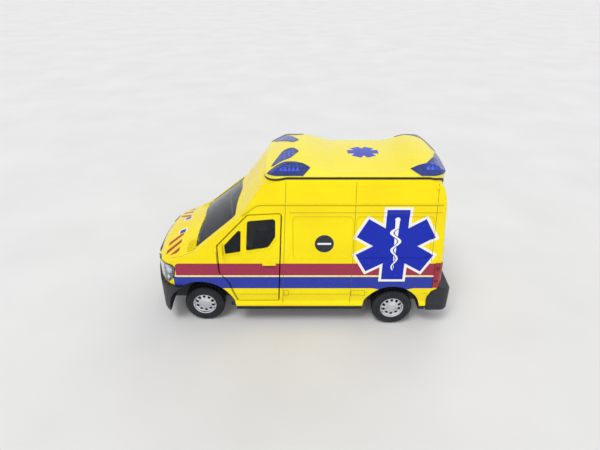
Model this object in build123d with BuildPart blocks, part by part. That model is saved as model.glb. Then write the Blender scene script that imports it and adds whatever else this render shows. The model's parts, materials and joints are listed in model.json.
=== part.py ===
"""Toy high-roof ambulance van: die-cast body, plastic base, opening doors, free rolling axles.

Millimetres. The nose points along -X and the van's left side along -Y. The ground is Z = 0 and the
origin is under the middle of the van.
"""
import os
from math import cos, radians, sin

from build123d import *

os.makedirs("parts", exist_ok=True)

# --- driving dimensions ---
HALF_LENGTH = 70.6
HALF_WIDTH = 27.7
NOSE_X = -69.1
REAR_X = 64.6
REAR_FOOT_Z = 24.0  # where the upright lower back starts to lean
REAR_TOP_Z = 69.0
REAR_LEAN = 0.072  # how far the back leans forwards for each millimetre of height
SILL_Z = 11.8
ROOF_Z = 76.0
CROWN_Z = -55.0  # height of the lengthwise axis that the hood, screen and roof are crowned about
CROWN_DEG = 28.0
SKIN = 1.4
GAP = 0.5  # groove between a door and its opening
FORM_HEIGHT = 90.0
SPAN = 40.0  # lengthwise-plane cuts run this far to either side

FRONT_AXLE_X = -46.6
REAR_AXLE_X = 43.7
TYRE_R = 9.6
TYRE_WIDTH = 7.0
RIM_R = 5.7
AXLE_R = 1.0
AXLE_BORE_R = 1.08
FRONT_FACE_Y = 23.2  # outer face of a front wheel
REAR_FACE_Y = 26.2
FRONT_ARCH = (FRONT_AXLE_X, 10.0, 16.0)  # centre x, centre z, radius
REAR_ARCH = (REAR_AXLE_X - 1.0, 9.4, 13.8)

BASE_BOTTOM_Z = 9.0
BASE_TOP_Z = 11.4
FLOOR_TOP_Z = 12.8

# outlines of the whole van, rows of (u, v, corner radius)
SIDE_ROWS = [
    (NOSE_X, 4.0, 0),
    (NOSE_X, 25.0, 4),
    (-68.2, 33.5, 4),
    (-62.8, 38.9, 4),
    (-48.4, 44.4, 3),
    (-26.6, 60.8, 4),
    (-16.2, 74.2, 5),
    (-6.0, ROOF_Z, 8),
    (54.0, ROOF_Z, 8),
    (59.4, 74.6, 4),
    (REAR_X - REAR_LEAN * (REAR_TOP_Z - REAR_FOOT_Z), REAR_TOP_Z, 6),
    (REAR_X, REAR_FOOT_Z, 2),
    (REAR_X, 4.0, 0),
]
SECTION_ROWS = [
    (27.3, 4.0, 0),
    (27.3, 13.0, 0),
    (26.5, 14.4, 0),
    (27.5, 19.2, 0),
    (HALF_WIDTH, 28.0, 100),
    (27.5, 42.0, 150),
    (25.5, 64.4, 3),
    (23.3, 73.4, 2.4),
    (18.0, 85.0, 0),
]
PLAN_ROWS = [
    (NOSE_X - 1.5, 0, 40),
    (-62.8, 28.0, 12),
    (-40.0, 28.0, 0),
    (REAR_X, 28.0, 3.5),
]

# outlines on the side of the van, rows of (x, z, corner radius)
DOOR_ROWS = [
    (-37.1, 44.8, 1.5),
    (-22.9, 59.2, 1.2),
    (-8.3, 59.9, 1.2),
    (-10.4, 14.6, 0.8),
    (-29.4, 14.6, 0.8),
    (-33.0, 25.6, 3),
    (-37.1, 30.9, 2.5),
]
QUARTER_WINDOW_ROWS = [(-33.8, 45.0, 0.4), (-26.0, 53.4, 0.8), (-26.8, 41.8, 0.6), (-33.6, 40.6, 0.6)]
MAIN_WINDOW_ROWS = [
    (-23.1, 56.4, 1.2),
    (-11.0, 57.5, 1.2),
    (-11.2, 49.0, 3),
    (-14.4, 43.9, 3),
    (-24.3, 42.3, 0.8),
]
# outlines on the back of the van, rows of (y, z, corner radius)
REAR_DOOR_ROWS = [(-23.2, 25.0, 1), (-23.2, 66.0, 2), (0, 66.0, 0), (0, 25.0, 0)]
REAR_WINDOW_ROWS = [(-19.6, 44.0, 1.5), (-18.6, 60.5, 2), (-4.0, 60.5, 1.5), (-4.0, 44.0, 1.5)]
# outlines on the front, rows of (y, z, corner radius)
WINDSCREEN_ROWS = [
    (0, 45.8, 30),
    (24.5, 42.0, 1),
    (22.2, 57.2, 2),
    (0, 60.4, 30),
    (-22.2, 57.2, 2),
    (-24.5, 42.0, 1),
]
GRILLE_ROWS = [(-12.6, 26.7, 1.2), (-14.2, 34.9, 1.2), (14.2, 34.9, 1.2), (12.6, 26.7, 1.2)]
# outline square to the front corner, rows of (distance round the corner, z, corner radius)
HEADLAMP_ROWS = [(-7.2, 34.8, 2), (8.0, 35.0, 2), (6.6, 28.4, 3), (2.4, 24.4, 1), (-5.2, 27.4, 3)]
HEADLAMP_ORIGIN = (-62.0, -22.0, 0)
HEADLAMP_TURN = 45.0

# roof cap with a raised pod at each end, rows of (x, z, corner radius)
CAP_SIDE_ROWS = [
    (-15.6, 66.0, 0),
    (-15.6, 76.6, 2),
    (-7.0, 81.2, 7),
    (3.0, 81.2, 8),
    (14.0, 78.0, 14),
    (40.0, 78.0, 14),
    (49.4, 81.0, 8),
    (56.0, 81.0, 6),
    (61.4, 77.0, 3),
    (61.4, 66.0, 0),
]
CAP_SECTION_ROWS = [(22.6, 66.0, 0), (22.6, 75.0, 3), (20.3, 79.3, 5), (12.0, 84.0, 0)]
CAP_PLAN_ROWS = [(-15.6, -22.6, 7), (-15.6, 22.6, 7), (61.4, 22.6, 8), (61.4, -22.6, 8)]
BAND_THICK = 0.9
# beacon outlines seen from above on the left half, rows of (x, y, corner radius)
SIDE_BEACON_ROWS = [
    (-14.3, -20.2, 1),
    (-10.5, -18.0, 3),
    (-2.5, -18.0, 5),
    (4.6, -21.2, 0.8),
    (4.6, -26.0, 0),
    (-14.3, -26.0, 0),
]
LEAF_BEACON_ROWS = [
    (-12.8, -16.6, 0.4),
    (-8.0, -7.0, 4),
    (-3.6, -3.6, 1.5),
    (-0.8, -7.5, 2),
    (-5.2, -15.8, 5),
]
REAR_BEACON_ROWS = [
    (43.4, -21.4, 0),
    (52.0, -19.4, 5),
    (56.8, -12.0, 5),
    (59.3, -3.0, 2),
    (66.0, -2.4, 0),
    (66.0, -26.0, 0),
    (43.4, -26.0, 0),
]
# the same beacons seen from the side, where their inner ends taper up to the cap's edge
BEACON_SIDE_ROWS = {
    "beacons_side": [(-20.0, 75.6, 0), (0.8, 75.6, 0), (4.9, 79.6, 0), (4.9, 90.0, 0), (-20.0, 90.0, 0)],
    "beacons_front": [(-20.0, 75.6, 0), (10.0, 75.6, 0), (10.0, 90.0, 0), (-20.0, 90.0, 0)],
    "beacons_rear": [(50.0, 75.6, 0), (43.2, 79.4, 0), (43.2, 90.0, 0), (70.0, 90.0, 0), (70.0, 75.6, 0)],
}
BEACON_ROWS = {
    "beacons_side": SIDE_BEACON_ROWS,
    "beacons_front": LEAF_BEACON_ROWS,
    "beacons_rear": REAR_BEACON_ROWS,
}
BEACON_LOW_Z = 75.6
BEACON_BLOCK_RISE = 20.0
LENS_DEPTH = 1.2
LENS_PROUD = 0.25

# --- details of the body ---
TRIM_PROUD = 0.4
GLASS_INSET = 0.4
GLASS_THICK = 0.8
PRESS_DEPTH = 0.4
BUMPER_PROUD = 1.5
PRESSING_ROWS = [
    [(-3.5, 38.6, 2), (-3.5, 58.6, 2), (22.6, 58.6, 2), (22.6, 38.6, 2)],
    [(23.8, 38.6, 2), (23.8, 58.6, 2), (57.2, 58.6, 2), (57.2, 38.6, 2)],
]
HANDLE_ROWS = [(-17.2, 34.6, 0.5), (-17.2, 35.8, 0.5), (-11.4, 35.8, 0.5), (-11.4, 34.6, 0.5)]
MIRROR_ROWS = [(-35.6, 39.6), (-35.6, 46.0), (-34.4, 46.0), (-34.4, 39.6)]
MIRROR_ROUND = 0.5
MIRROR_ROOT_Y = 26.4
MIRROR_REACH = 3.4
TAIL_LAMP_ROWS = [(60.8, 22.9, 0.4), (60.4, 36.1, 0.4), (70.0, 36.1, 0), (70.0, 22.9, 0)]
SLOT_COUNT = 4
SLOT_PITCH = 1.9
SLOT_HEIGHT = 1.1
SLOT_LENGTH = 22.6
GRILLE_MID_Z = 30.8

# --- bumpers, rows of (x, z, corner radius) ---
FRONT_BUMPER_ROWS = [(-76.0, 8.2, 0), (-76.0, 23.9, 0), (-52.0, 23.9, 0), (-52.0, 8.2, 0)]
INTAKE_Z = 14.5
INTAKE_LENGTH = 30.0
INTAKE_HEIGHT = 4.0
REAR_BUMPER_HOLE_ROWS = [
    (59.2, 4.0, 0),
    (59.2, 17.4, 1),
    (60.6, 20.6, 1),
    (63.9, 22.6, 1),
    (76.0, 22.6, 0),
    (76.0, 4.0, 0),
]
REAR_BUMPER_ROWS = [
    (59.4, 9.6, 0.5),
    (59.4, 17.3, 1),
    (60.8, 20.4, 1),
    (64.1, 22.4, 1),
    (69.6, 22.2, 1.2),
    (HALF_LENGTH, 17.0, 2),
    (69.8, 9.6, 1),
]
REAR_BUMPER_PLAN_ROWS = [
    (50.0, -27.4, 0),
    (HALF_LENGTH, -27.4, 5),
    (HALF_LENGTH, 27.4, 5),
    (50.0, 27.4, 0),
]
REAR_BUMPER_TOP_Z = 22.4
REAR_BUMPER_WALL = 1.4

# --- base ---
BASE_FRONT_X = -62.0
BASE_REAR_X = 59.2
HOUSING_WALL = 1.0
HOUSINGS = [  # (centre x, centre z, inner radius), y of the inner wall
    ((FRONT_ARCH[0], FRONT_ARCH[1], FRONT_ARCH[2] - 0.2), 14.0),
    ((REAR_ARCH[0], REAR_ARCH[1], REAR_ARCH[2] - 0.2), 17.0),
]
SADDLE_BOTTOM_Z = 7.8
SADDLE_Y = 11.5
SADDLE_LENGTH = 6.0
SADDLE_WIDTH = 3.0
MOTOR_LENGTH = 20.0
MOTOR_WIDTH = 17.0
MOTOR_BOTTOM_Z = 5.6
SCREW_POST_X = (-26.0, 24.0)
SCREW_POST_R = 3.0
SCREW_BORE_R = 1.1
SCREW_BORE_DEPTH = 3.0
COVER_LENGTH = 30.0
COVER_WIDTH = 24.0
COVER_ROUND = 1.5
COVER_THICK = 1.0

# --- inside ---
BULKHEAD_X = -8.6
BULKHEAD_THICK = 1.0
BULKHEAD_ROWS = [(-23.5, FLOOR_TOP_Z), (-23.5, 56.0), (23.5, 56.0), (23.5, FLOOR_TOP_Z)]
DASH_ROWS = [
    (-52.0, 29.0, 0),
    (-52.0, 46.0, 0),
    (-42.0, 43.0, 2),
    (-38.6, 40.6, 1),
    (-37.4, 35.5, 1),
    (-41.0, 29.0, 1),
]
DASH_CLEARANCE = 0.9
CONSOLE_ROWS = [(-49.0, FLOOR_TOP_Z, 0), (-49.0, 34.0, 0), (-41.0, 34.0, 0), (-39.0, FLOOR_TOP_Z, 0)]
CONSOLE_HALF_WIDTH = 6.0
SEAT_ROWS = [
    (-24.6, FLOOR_TOP_Z, 0),
    (-25.4, 24.0, 1),
    (-25.0, 28.0, 2),
    (-16.2, 26.8, 1.5),
    (-13.6, 47.0, 1),
    (-13.8, 54.0, 1.2),
    (-10.6, 54.0, 1.2),
    (-10.4, 46.0, 1),
    (-11.8, 24.0, 2),
    (-11.8, FLOOR_TOP_Z, 0),
]
SEAT_NEAR_Y = 4.6
SEAT_WIDTH = 15.0
STEERING_CENTRE = (-33.6, -12.1, 39.4)
STEERING_LEAN = 35.0
STEERING_R = 3.9
STEERING_RIM = 0.7
COLUMN_R = 0.6
COLUMN_LENGTH = 5.5

# --- wheels, rows of (depth in from the outer face, radius) ---
TYRE_ROWS = [
    (0.5, RIM_R),
    (0, 6.3),
    (0, 7.8),
    (0.4, 8.9),
    (1.2, TYRE_R),
    (5.8, TYRE_R),
    (6.6, 8.9),
    (TYRE_WIDTH, 7.8),
    (TYRE_WIDTH, RIM_R),
]
RIM_ROWS = [
    (0.7, 0),
    (0.7, 1.6),
    (1.5, 2.4),
    (1.5, 3.4),
    (0.9, 4.6),
    (0.2, 4.9),
    (0.1, 5.3),
    (0.4, RIM_R),
    (6.4, RIM_R),
    (6.4, 5.0),
    (2.6, 4.9),
    (2.6, 2.2),
    (6.4, 2.2),
    (6.4, AXLE_R),
    (2.0, AXLE_R),
    (2.0, 0),
]
AXLE_END = 2.0  # depth of the axle's end behind the wheel's outer face
RIM_HOLES = 9
RIM_HOLE_R = 0.62
RIM_HOLE_CIRCLE_R = 3.6


def both_sides(rows):
    """Rows of one half and their mirror image in u, as one closed outline."""
    return rows + [(-u, v, r) for u, v, r in reversed(rows)]


def outline(plane, rows, grow=0.0):
    """Closed outline with rounded corners on a plane, grown by an offset."""
    with BuildSketch(plane) as shape:
        with BuildLine():
            FilletPolyline(*[(u, v) for u, v, _ in rows], radius=[r for *_, r in rows], close=True)
        make_face()
        if grow:
            offset(amount=grow, kind=Kind.INTERSECTION)
    return shape.sketch


PLAN_OUTLINE_ROWS = PLAN_ROWS + [(x, -y, r) for x, y, r in reversed(PLAN_ROWS[1:])]


def van_form(grow):
    """Solid bounded by the van's outer surface moved outwards by grow."""
    side = outline(Plane.XZ, SIDE_ROWS, grow)
    section = outline(Plane.YZ, both_sides(SECTION_ROWS), grow)
    plan = outline(Plane.XY, PLAN_OUTLINE_ROWS, grow)
    with BuildPart() as form:
        revolve(side, axis=Axis((0, 0, CROWN_Z), (1, 0, 0)), revolution_arc=CROWN_DEG)
        mirror(about=Plane.XZ)
        extrude(section, amount=HALF_LENGTH + 5, both=True, mode=Mode.INTERSECT)
        extrude(plan, amount=FORM_HEIGHT, mode=Mode.INTERSECT)
    return form.part


def cap_form(grow):
    """Solid bounded by the roof cap's outer surface moved outwards by grow."""
    side = outline(Plane.XZ, CAP_SIDE_ROWS, grow)
    section = outline(Plane.YZ, both_sides(CAP_SECTION_ROWS), grow)
    plan = outline(Plane.XY, CAP_PLAN_ROWS, grow)
    with BuildPart() as form:
        revolve(side, axis=Axis((0, 0, CROWN_Z), (1, 0, 0)), revolution_arc=CROWN_DEG)
        mirror(about=Plane.XZ)
        extrude(section, amount=HALF_LENGTH + 5, both=True, mode=Mode.INTERSECT)
        extrude(plan, amount=FORM_HEIGHT, mode=Mode.INTERSECT)
    return form.part


def cylinder_y(x, z, radius, y_low, y_high):
    """Solid cylinder along Y between two heights of y."""
    with BuildPart() as bar:
        with BuildSketch(Plane.XZ.offset(-y_high)):
            with Locations((x, z)):
                Circle(radius)
        extrude(amount=y_high - y_low)
    return bar.part


def prism(plane, rows, depth, grow=0.0):
    """Outline extruded from its plane."""
    with BuildPart() as block:
        extrude(outline(plane, rows, grow), amount=depth)
    return block.part


LEFT_WALL = Plane.XZ.offset(22.4)
REAR_WALL = Plane.YZ.offset(57)
FRONT_WALL = Plane.YZ.offset(-80)
WALL_REACH = 20.0
SCREEN_REACH = 60.0
HEADLAMP_INSET = 7.0
HEADLAMP_REACH = 16.0
TAIL_LAMP_INSET = 2.2
BAND_LOW_Z = 60.0
BAND_BLOCK_RISE = 30.0
CORNER = Plane(
    origin=HEADLAMP_ORIGIN,
    x_dir=(sin(radians(HEADLAMP_TURN)), -cos(radians(HEADLAMP_TURN)), 0),
    z_dir=(-cos(radians(HEADLAMP_TURN)), -sin(radians(HEADLAMP_TURN)), 0),
)

OUTER = van_form(0)
INNER = van_form(-SKIN)
GLASS_FACE = van_form(-GLASS_INSET)
GLASS_BACK = van_form(-GLASS_INSET - GLASS_THICK)
PROUD = van_form(TRIM_PROUD)
BUMPER_FACE = van_form(BUMPER_PROUD)
PRESSED = van_form(-PRESS_DEPTH)


def layer(outside, inside, block):
    """What lies between two forms and within a block."""
    with BuildPart() as piece:
        add(outside)
        add(inside, mode=Mode.SUBTRACT)
        add(block, mode=Mode.INTERSECT)
    return piece.part


def mirrored(part):
    """The same part on the other side of the van."""
    with BuildPart() as other:
        mirror(part, about=Plane.XZ)
    return other.part


# --- cutting blocks ---
door_block = prism(LEFT_WALL, DOOR_ROWS, WALL_REACH, -GAP / 2)
door_hole = prism(LEFT_WALL, DOOR_ROWS, WALL_REACH, GAP / 2)
quarter_window = prism(LEFT_WALL, QUARTER_WINDOW_ROWS, WALL_REACH)
main_window = prism(LEFT_WALL, MAIN_WINDOW_ROWS, WALL_REACH)
rear_door_block = prism(REAR_WALL, REAR_DOOR_ROWS, WALL_REACH, -GAP / 2)
rear_door_hole = prism(REAR_WALL, REAR_DOOR_ROWS, WALL_REACH, GAP / 2)
rear_window = prism(REAR_WALL, REAR_WINDOW_ROWS, WALL_REACH)
windscreen_block = prism(FRONT_WALL, WINDSCREEN_ROWS, SCREEN_REACH)
grille_block = prism(FRONT_WALL, GRILLE_ROWS, WALL_REACH)
headlamp_block = prism(CORNER.offset(-HEADLAMP_INSET), HEADLAMP_ROWS, HEADLAMP_REACH)
tail_lamp_block = prism(LEFT_WALL.offset(TAIL_LAMP_INSET), TAIL_LAMP_ROWS, WALL_REACH)
front_bumper_block = prism(Plane.XZ.offset(-SPAN), FRONT_BUMPER_ROWS, 2 * SPAN)
rear_bumper_hole = prism(Plane.XZ.offset(-SPAN), REAR_BUMPER_HOLE_ROWS, 2 * SPAN)
front_arch = cylinder_y(*FRONT_ARCH, -SPAN, SPAN)
rear_arch = cylinder_y(*REAR_ARCH, -SPAN, SPAN)

# --- die-cast body ---
with BuildPart() as body_shell:
    add(OUTER)
    add(INNER, mode=Mode.SUBTRACT)
    with BuildSketch():
        Rectangle(4 * HALF_LENGTH, 4 * HALF_WIDTH)
    extrude(amount=SILL_Z, mode=Mode.SUBTRACT)
    for rows in PRESSING_ROWS:
        pressing = layer(OUTER, PRESSED, prism(LEFT_WALL, rows, WALL_REACH))
        add(pressing, mode=Mode.SUBTRACT)
        add(mirrored(pressing), mode=Mode.SUBTRACT)
    for cut in (front_arch, rear_arch, front_bumper_block, rear_bumper_hole, windscreen_block, grille_block):
        add(cut, mode=Mode.SUBTRACT)
    for cut in (door_hole, rear_door_hole, headlamp_block, tail_lamp_block):
        add(cut, mode=Mode.SUBTRACT)
        add(mirrored(cut), mode=Mode.SUBTRACT)

# --- doors and glazing ---
with BuildPart() as door_left:
    add(layer(OUTER, INNER, door_block))
    for window in (quarter_window, main_window):
        add(window, mode=Mode.SUBTRACT)
    add(layer(PROUD, OUTER, prism(LEFT_WALL, HANDLE_ROWS, WALL_REACH)))
    with BuildSketch(Plane.XZ.offset(MIRROR_ROOT_Y)):
        with BuildLine():
            FilletPolyline(*[(x, z) for x, z in MIRROR_ROWS], radius=MIRROR_ROUND, close=True)
        make_face()
    extrude(amount=MIRROR_REACH)

with BuildPart() as door_glass_left:
    add(layer(GLASS_FACE, GLASS_BACK, quarter_window))
    add(layer(GLASS_FACE, GLASS_BACK, main_window))

with BuildPart() as rear_door_left:
    add(layer(OUTER, INNER, rear_door_block))
    add(rear_window, mode=Mode.SUBTRACT)

with BuildPart() as rear_door_glass_left:
    add(layer(GLASS_FACE, GLASS_BACK, rear_window))

with BuildPart() as windscreen:
    add(layer(GLASS_FACE, GLASS_BACK, windscreen_block))

# --- lamps and grille ---
with BuildPart() as headlamp_left:
    add(layer(PROUD, GLASS_FACE, headlamp_block))

with BuildPart() as headlamp_bowl_left:
    add(layer(GLASS_FACE, INNER, headlamp_block))

with BuildPart() as tail_lamp_left:
    add(layer(PROUD, INNER, tail_lamp_block))

with BuildPart() as grille:
    add(layer(OUTER, INNER, grille_block))
    with BuildSketch(FRONT_WALL):
        with Locations((0, GRILLE_MID_Z)):
            with GridLocations(0, SLOT_PITCH, 1, SLOT_COUNT):
                SlotOverall(SLOT_LENGTH, SLOT_HEIGHT)
    extrude(amount=WALL_REACH, mode=Mode.SUBTRACT)

# --- bumpers ---
with BuildPart() as front_bumper:
    add(layer(BUMPER_FACE, INNER, front_bumper_block))
    add(front_arch, mode=Mode.SUBTRACT)
    with BuildSketch(FRONT_WALL):
        with Locations((0, INTAKE_Z)):
            SlotOverall(INTAKE_LENGTH, INTAKE_HEIGHT)
    extrude(amount=WALL_REACH, mode=Mode.SUBTRACT)

with BuildPart() as rear_bumper:
    extrude(outline(Plane.XZ, REAR_BUMPER_ROWS), amount=HALF_WIDTH, both=True)
    extrude(outline(Plane.XY, REAR_BUMPER_PLAN_ROWS), amount=FORM_HEIGHT, mode=Mode.INTERSECT)
    with BuildSketch():
        with Locations((HALF_LENGTH - 20 - REAR_BUMPER_WALL, 0)):
            Rectangle(40, 2 * (HALF_WIDTH - SKIN - REAR_BUMPER_WALL))
    extrude(amount=REAR_BUMPER_TOP_Z - REAR_BUMPER_WALL, mode=Mode.SUBTRACT)

# --- roof band, cap and beacons ---
BAND_FACE = van_form(BAND_THICK)
CAP_OUTER = cap_form(0)
CAP_POCKET = cap_form(-LENS_DEPTH)
CAP_PROUD = cap_form(LENS_PROUD)
band_block = prism(Plane.XY.offset(BAND_LOW_Z), CAP_PLAN_ROWS, BAND_BLOCK_RISE)

with BuildPart() as roof_band:
    add(layer(BAND_FACE, OUTER, band_block))

beacon_blocks = {}
for name, rows in BEACON_ROWS.items():
    with BuildPart() as block:
        extrude(outline(Plane.XY.offset(BEACON_LOW_Z), rows), amount=BEACON_BLOCK_RISE)
        side_rows = BEACON_SIDE_ROWS[name]
        extrude(outline(Plane.XZ, side_rows), amount=SPAN, both=True, mode=Mode.INTERSECT)
    beacon_blocks[name] = block.part
with BuildPart() as roof_cap:
    add(CAP_OUTER)
    add(BAND_FACE, mode=Mode.SUBTRACT)
    for block in beacon_blocks.values():
        pocket = layer(CAP_PROUD, CAP_POCKET, block)
        add(pocket, mode=Mode.SUBTRACT)
        add(mirrored(pocket), mode=Mode.SUBTRACT)


def beacon_pair(block):
    """One translucent lens and its twin across the roof, seated in their pockets."""
    with BuildPart() as lenses:
        add(layer(CAP_PROUD, CAP_POCKET, block))
        add(BAND_FACE, mode=Mode.SUBTRACT)
        mirror(about=Plane.XZ)
    return lenses


# --- base with wheel housings ---
with BuildPart() as base_plate:
    with BuildSketch(Plane.XY.offset(BASE_BOTTOM_Z)):
        with Locations(((BASE_FRONT_X + BASE_REAR_X) / 2, 0)):
            Rectangle(BASE_REAR_X - BASE_FRONT_X, 2 * HALF_WIDTH)
    extrude(amount=BASE_TOP_Z - BASE_BOTTOM_Z)
    for (x, z, radius), wall_y in HOUSINGS:
        for side in (-1, 1):
            near, far = sorted((side * wall_y, side * SPAN))
            add(cylinder_y(x, z, radius + HOUSING_WALL, near, far))
            near, far = sorted((side * (wall_y + HOUSING_WALL), side * SPAN))
            add(cylinder_y(x, z, radius, near, far), mode=Mode.SUBTRACT)
    with BuildSketch():
        Rectangle(4 * HALF_LENGTH, 4 * HALF_WIDTH)
    extrude(amount=BASE_BOTTOM_Z, mode=Mode.SUBTRACT)
    add(INNER, mode=Mode.INTERSECT)
    for axle_x in (FRONT_AXLE_X, REAR_AXLE_X):
        with BuildSketch(Plane.XY.offset(SADDLE_BOTTOM_Z)):
            with Locations((axle_x, 0)):
                with GridLocations(0, 2 * SADDLE_Y, 1, 2):
                    Rectangle(SADDLE_LENGTH, SADDLE_WIDTH)
        extrude(amount=BASE_TOP_Z - SADDLE_BOTTOM_Z)
        add(cylinder_y(axle_x, TYRE_R, AXLE_BORE_R, -SPAN, SPAN), mode=Mode.SUBTRACT)
    with BuildSketch(Plane.XY.offset(BASE_BOTTOM_Z)):
        with Locations((REAR_AXLE_X, 0)):
            Rectangle(MOTOR_LENGTH, MOTOR_WIDTH)
    extrude(amount=BASE_TOP_Z, mode=Mode.SUBTRACT)
    with BuildSketch(Plane.XY.offset(SADDLE_BOTTOM_Z)):
        with Locations(*[(x, 0) for x in SCREW_POST_X]):
            Circle(SCREW_POST_R)
    extrude(amount=BASE_TOP_Z - SADDLE_BOTTOM_Z)
    with BuildSketch(Plane.XY.offset(SADDLE_BOTTOM_Z)):
        with Locations(*[(x, 0) for x in SCREW_POST_X]):
            Circle(SCREW_BORE_R)
    extrude(amount=SCREW_BORE_DEPTH, mode=Mode.SUBTRACT)

with BuildPart() as battery_cover:
    with BuildSketch(Plane.XY.offset(BASE_BOTTOM_Z)):
        RectangleRounded(COVER_LENGTH, COVER_WIDTH, COVER_ROUND)
    extrude(amount=-COVER_THICK)

with BuildPart() as motor_box:
    with BuildSketch(Plane.XY.offset(MOTOR_BOTTOM_Z)):
        with Locations((REAR_AXLE_X, 0)):
            Rectangle(MOTOR_LENGTH, MOTOR_WIDTH)
    extrude(amount=BASE_TOP_Z - MOTOR_BOTTOM_Z)
    add(cylinder_y(REAR_AXLE_X, TYRE_R, AXLE_BORE_R, -SPAN, SPAN), mode=Mode.SUBTRACT)

# --- inside ---
with BuildPart() as floor_plate:
    with BuildSketch(Plane.XY.offset(BASE_TOP_Z)):
        with Locations(((BASE_FRONT_X + BASE_REAR_X) / 2, 0)):
            Rectangle(BASE_REAR_X - BASE_FRONT_X, 2 * (HALF_WIDTH - 2 * SKIN))
    extrude(amount=FLOOR_TOP_Z - BASE_TOP_Z)
    for (x, z, radius), wall_y in HOUSINGS:
        for side in (-1, 1):
            near, far = sorted((side * wall_y, side * SPAN))
            add(cylinder_y(x, z, radius + HOUSING_WALL, near, far), mode=Mode.SUBTRACT)

with BuildPart() as bulkhead:
    with BuildSketch(Plane.YZ.offset(BULKHEAD_X)):
        with BuildLine():
            FilletPolyline(*BULKHEAD_ROWS, radius=2, close=True)
        make_face()
    extrude(amount=BULKHEAD_THICK)

with BuildPart() as dashboard:
    extrude(outline(Plane.XZ, DASH_ROWS), amount=HALF_WIDTH, both=True)
    add(van_form(-SKIN - DASH_CLEARANCE), mode=Mode.INTERSECT)

with BuildPart() as console:
    extrude(outline(Plane.XZ, CONSOLE_ROWS), amount=CONSOLE_HALF_WIDTH, both=True)
    add(dashboard.part, mode=Mode.SUBTRACT)

with BuildPart() as seat_left:
    extrude(outline(Plane.XZ.offset(SEAT_NEAR_Y), SEAT_ROWS), amount=SEAT_WIDTH)

STEERING_PLANE = Plane(
    origin=STEERING_CENTRE,
    x_dir=(0, 1, 0),
    z_dir=(cos(radians(STEERING_LEAN)), 0, sin(radians(STEERING_LEAN))),
)
with BuildPart() as steering_wheel:
    with BuildSketch(STEERING_PLANE):
        Circle(STEERING_R)
        Circle(STEERING_R - STEERING_RIM, mode=Mode.SUBTRACT)
        Rectangle(2 * STEERING_R - STEERING_RIM, STEERING_RIM)
        Circle(2 * COLUMN_R)
    extrude(amount=STEERING_RIM)
    with BuildSketch(STEERING_PLANE):
        Circle(COLUMN_R)
    extrude(amount=-COLUMN_LENGTH)
    add(dashboard.part, mode=Mode.SUBTRACT)
    add(console.part, mode=Mode.SUBTRACT)

# --- wheels ---


def wheel_ring(axle_x, face_y, side, rows):
    """Ring turned about an axle from rows of (depth in from the outer face, radius)."""
    with BuildPart() as ring:
        with BuildSketch(Plane.YZ.offset(axle_x)):
            with BuildLine():
                Polyline(*[(side * (face_y - depth), TYRE_R + r) for depth, r in rows], close=True)
            make_face()
        revolve(axis=Axis((axle_x, 0, TYRE_R), (0, 1, 0)))
    return ring


def rim(axle_x, face_y, side):
    """Dished hub cap and wheel in one, with a ring of round openings."""
    with BuildPart() as disc:
        add(wheel_ring(axle_x, face_y, side, RIM_ROWS).part)
        with BuildSketch(Plane(origin=(axle_x, side * face_y, TYRE_R), z_dir=(0, side, 0))):
            with PolarLocations(RIM_HOLE_CIRCLE_R, RIM_HOLES):
                Circle(RIM_HOLE_R)
        extrude(amount=-2.6, mode=Mode.SUBTRACT)
    return disc


pieces = {
    "body_shell": body_shell,
    "windscreen": windscreen,
    "grille": grille,
    "front_bumper": front_bumper,
    "rear_bumper": rear_bumper,
    "roof_band": roof_band,
    "roof_cap": roof_cap,
    "base_plate": base_plate,
    "battery_cover": battery_cover,
    "motor_box": motor_box,
    "floor_plate": floor_plate,
    "bulkhead": bulkhead,
    "dashboard": dashboard,
    "console": console,
    "steering_wheel": steering_wheel,
}
for name, block in beacon_blocks.items():
    pieces[name] = beacon_pair(block)

left_pieces = {
    "door": door_left,
    "door_glass": door_glass_left,
    "rear_door": rear_door_left,
    "rear_door_glass": rear_door_glass_left,
    "headlamp": headlamp_left,
    "headlamp_bowl": headlamp_bowl_left,
    "tail_lamp": tail_lamp_left,
    "seat": seat_left,
}
for name, left_piece in left_pieces.items():
    with BuildPart() as right_piece:
        mirror(left_piece.part, about=Plane.XZ)
    pieces[name + "_left"] = left_piece
    pieces[name + "_right"] = right_piece

for end, axle_x, face_y in (("front", FRONT_AXLE_X, FRONT_FACE_Y), ("rear", REAR_AXLE_X, REAR_FACE_Y)):
    with BuildPart() as axle:
        add(cylinder_y(axle_x, TYRE_R, AXLE_R, AXLE_END - face_y, face_y - AXLE_END))
    pieces[end + "_axle"] = axle
    for hand, side in (("left", -1), ("right", 1)):
        pieces[f"tyre_{end}_{hand}"] = wheel_ring(axle_x, face_y, side, TYRE_ROWS)
        pieces[f"rim_{end}_{hand}"] = rim(axle_x, face_y, side)

for name, piece in pieces.items():
    piece.part.label = name
    export_step(piece.part, f"parts/{name}.step")
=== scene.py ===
"""Toy ambulance van: finishes, livery, small details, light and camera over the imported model."""
import json
import logging
import math
from dataclasses import dataclass
from enum import Enum
from itertools import product
from typing import Sequence, Union

import bmesh
import bpy
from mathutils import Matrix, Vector
from mathutils.bvhtree import BVHTree


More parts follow.
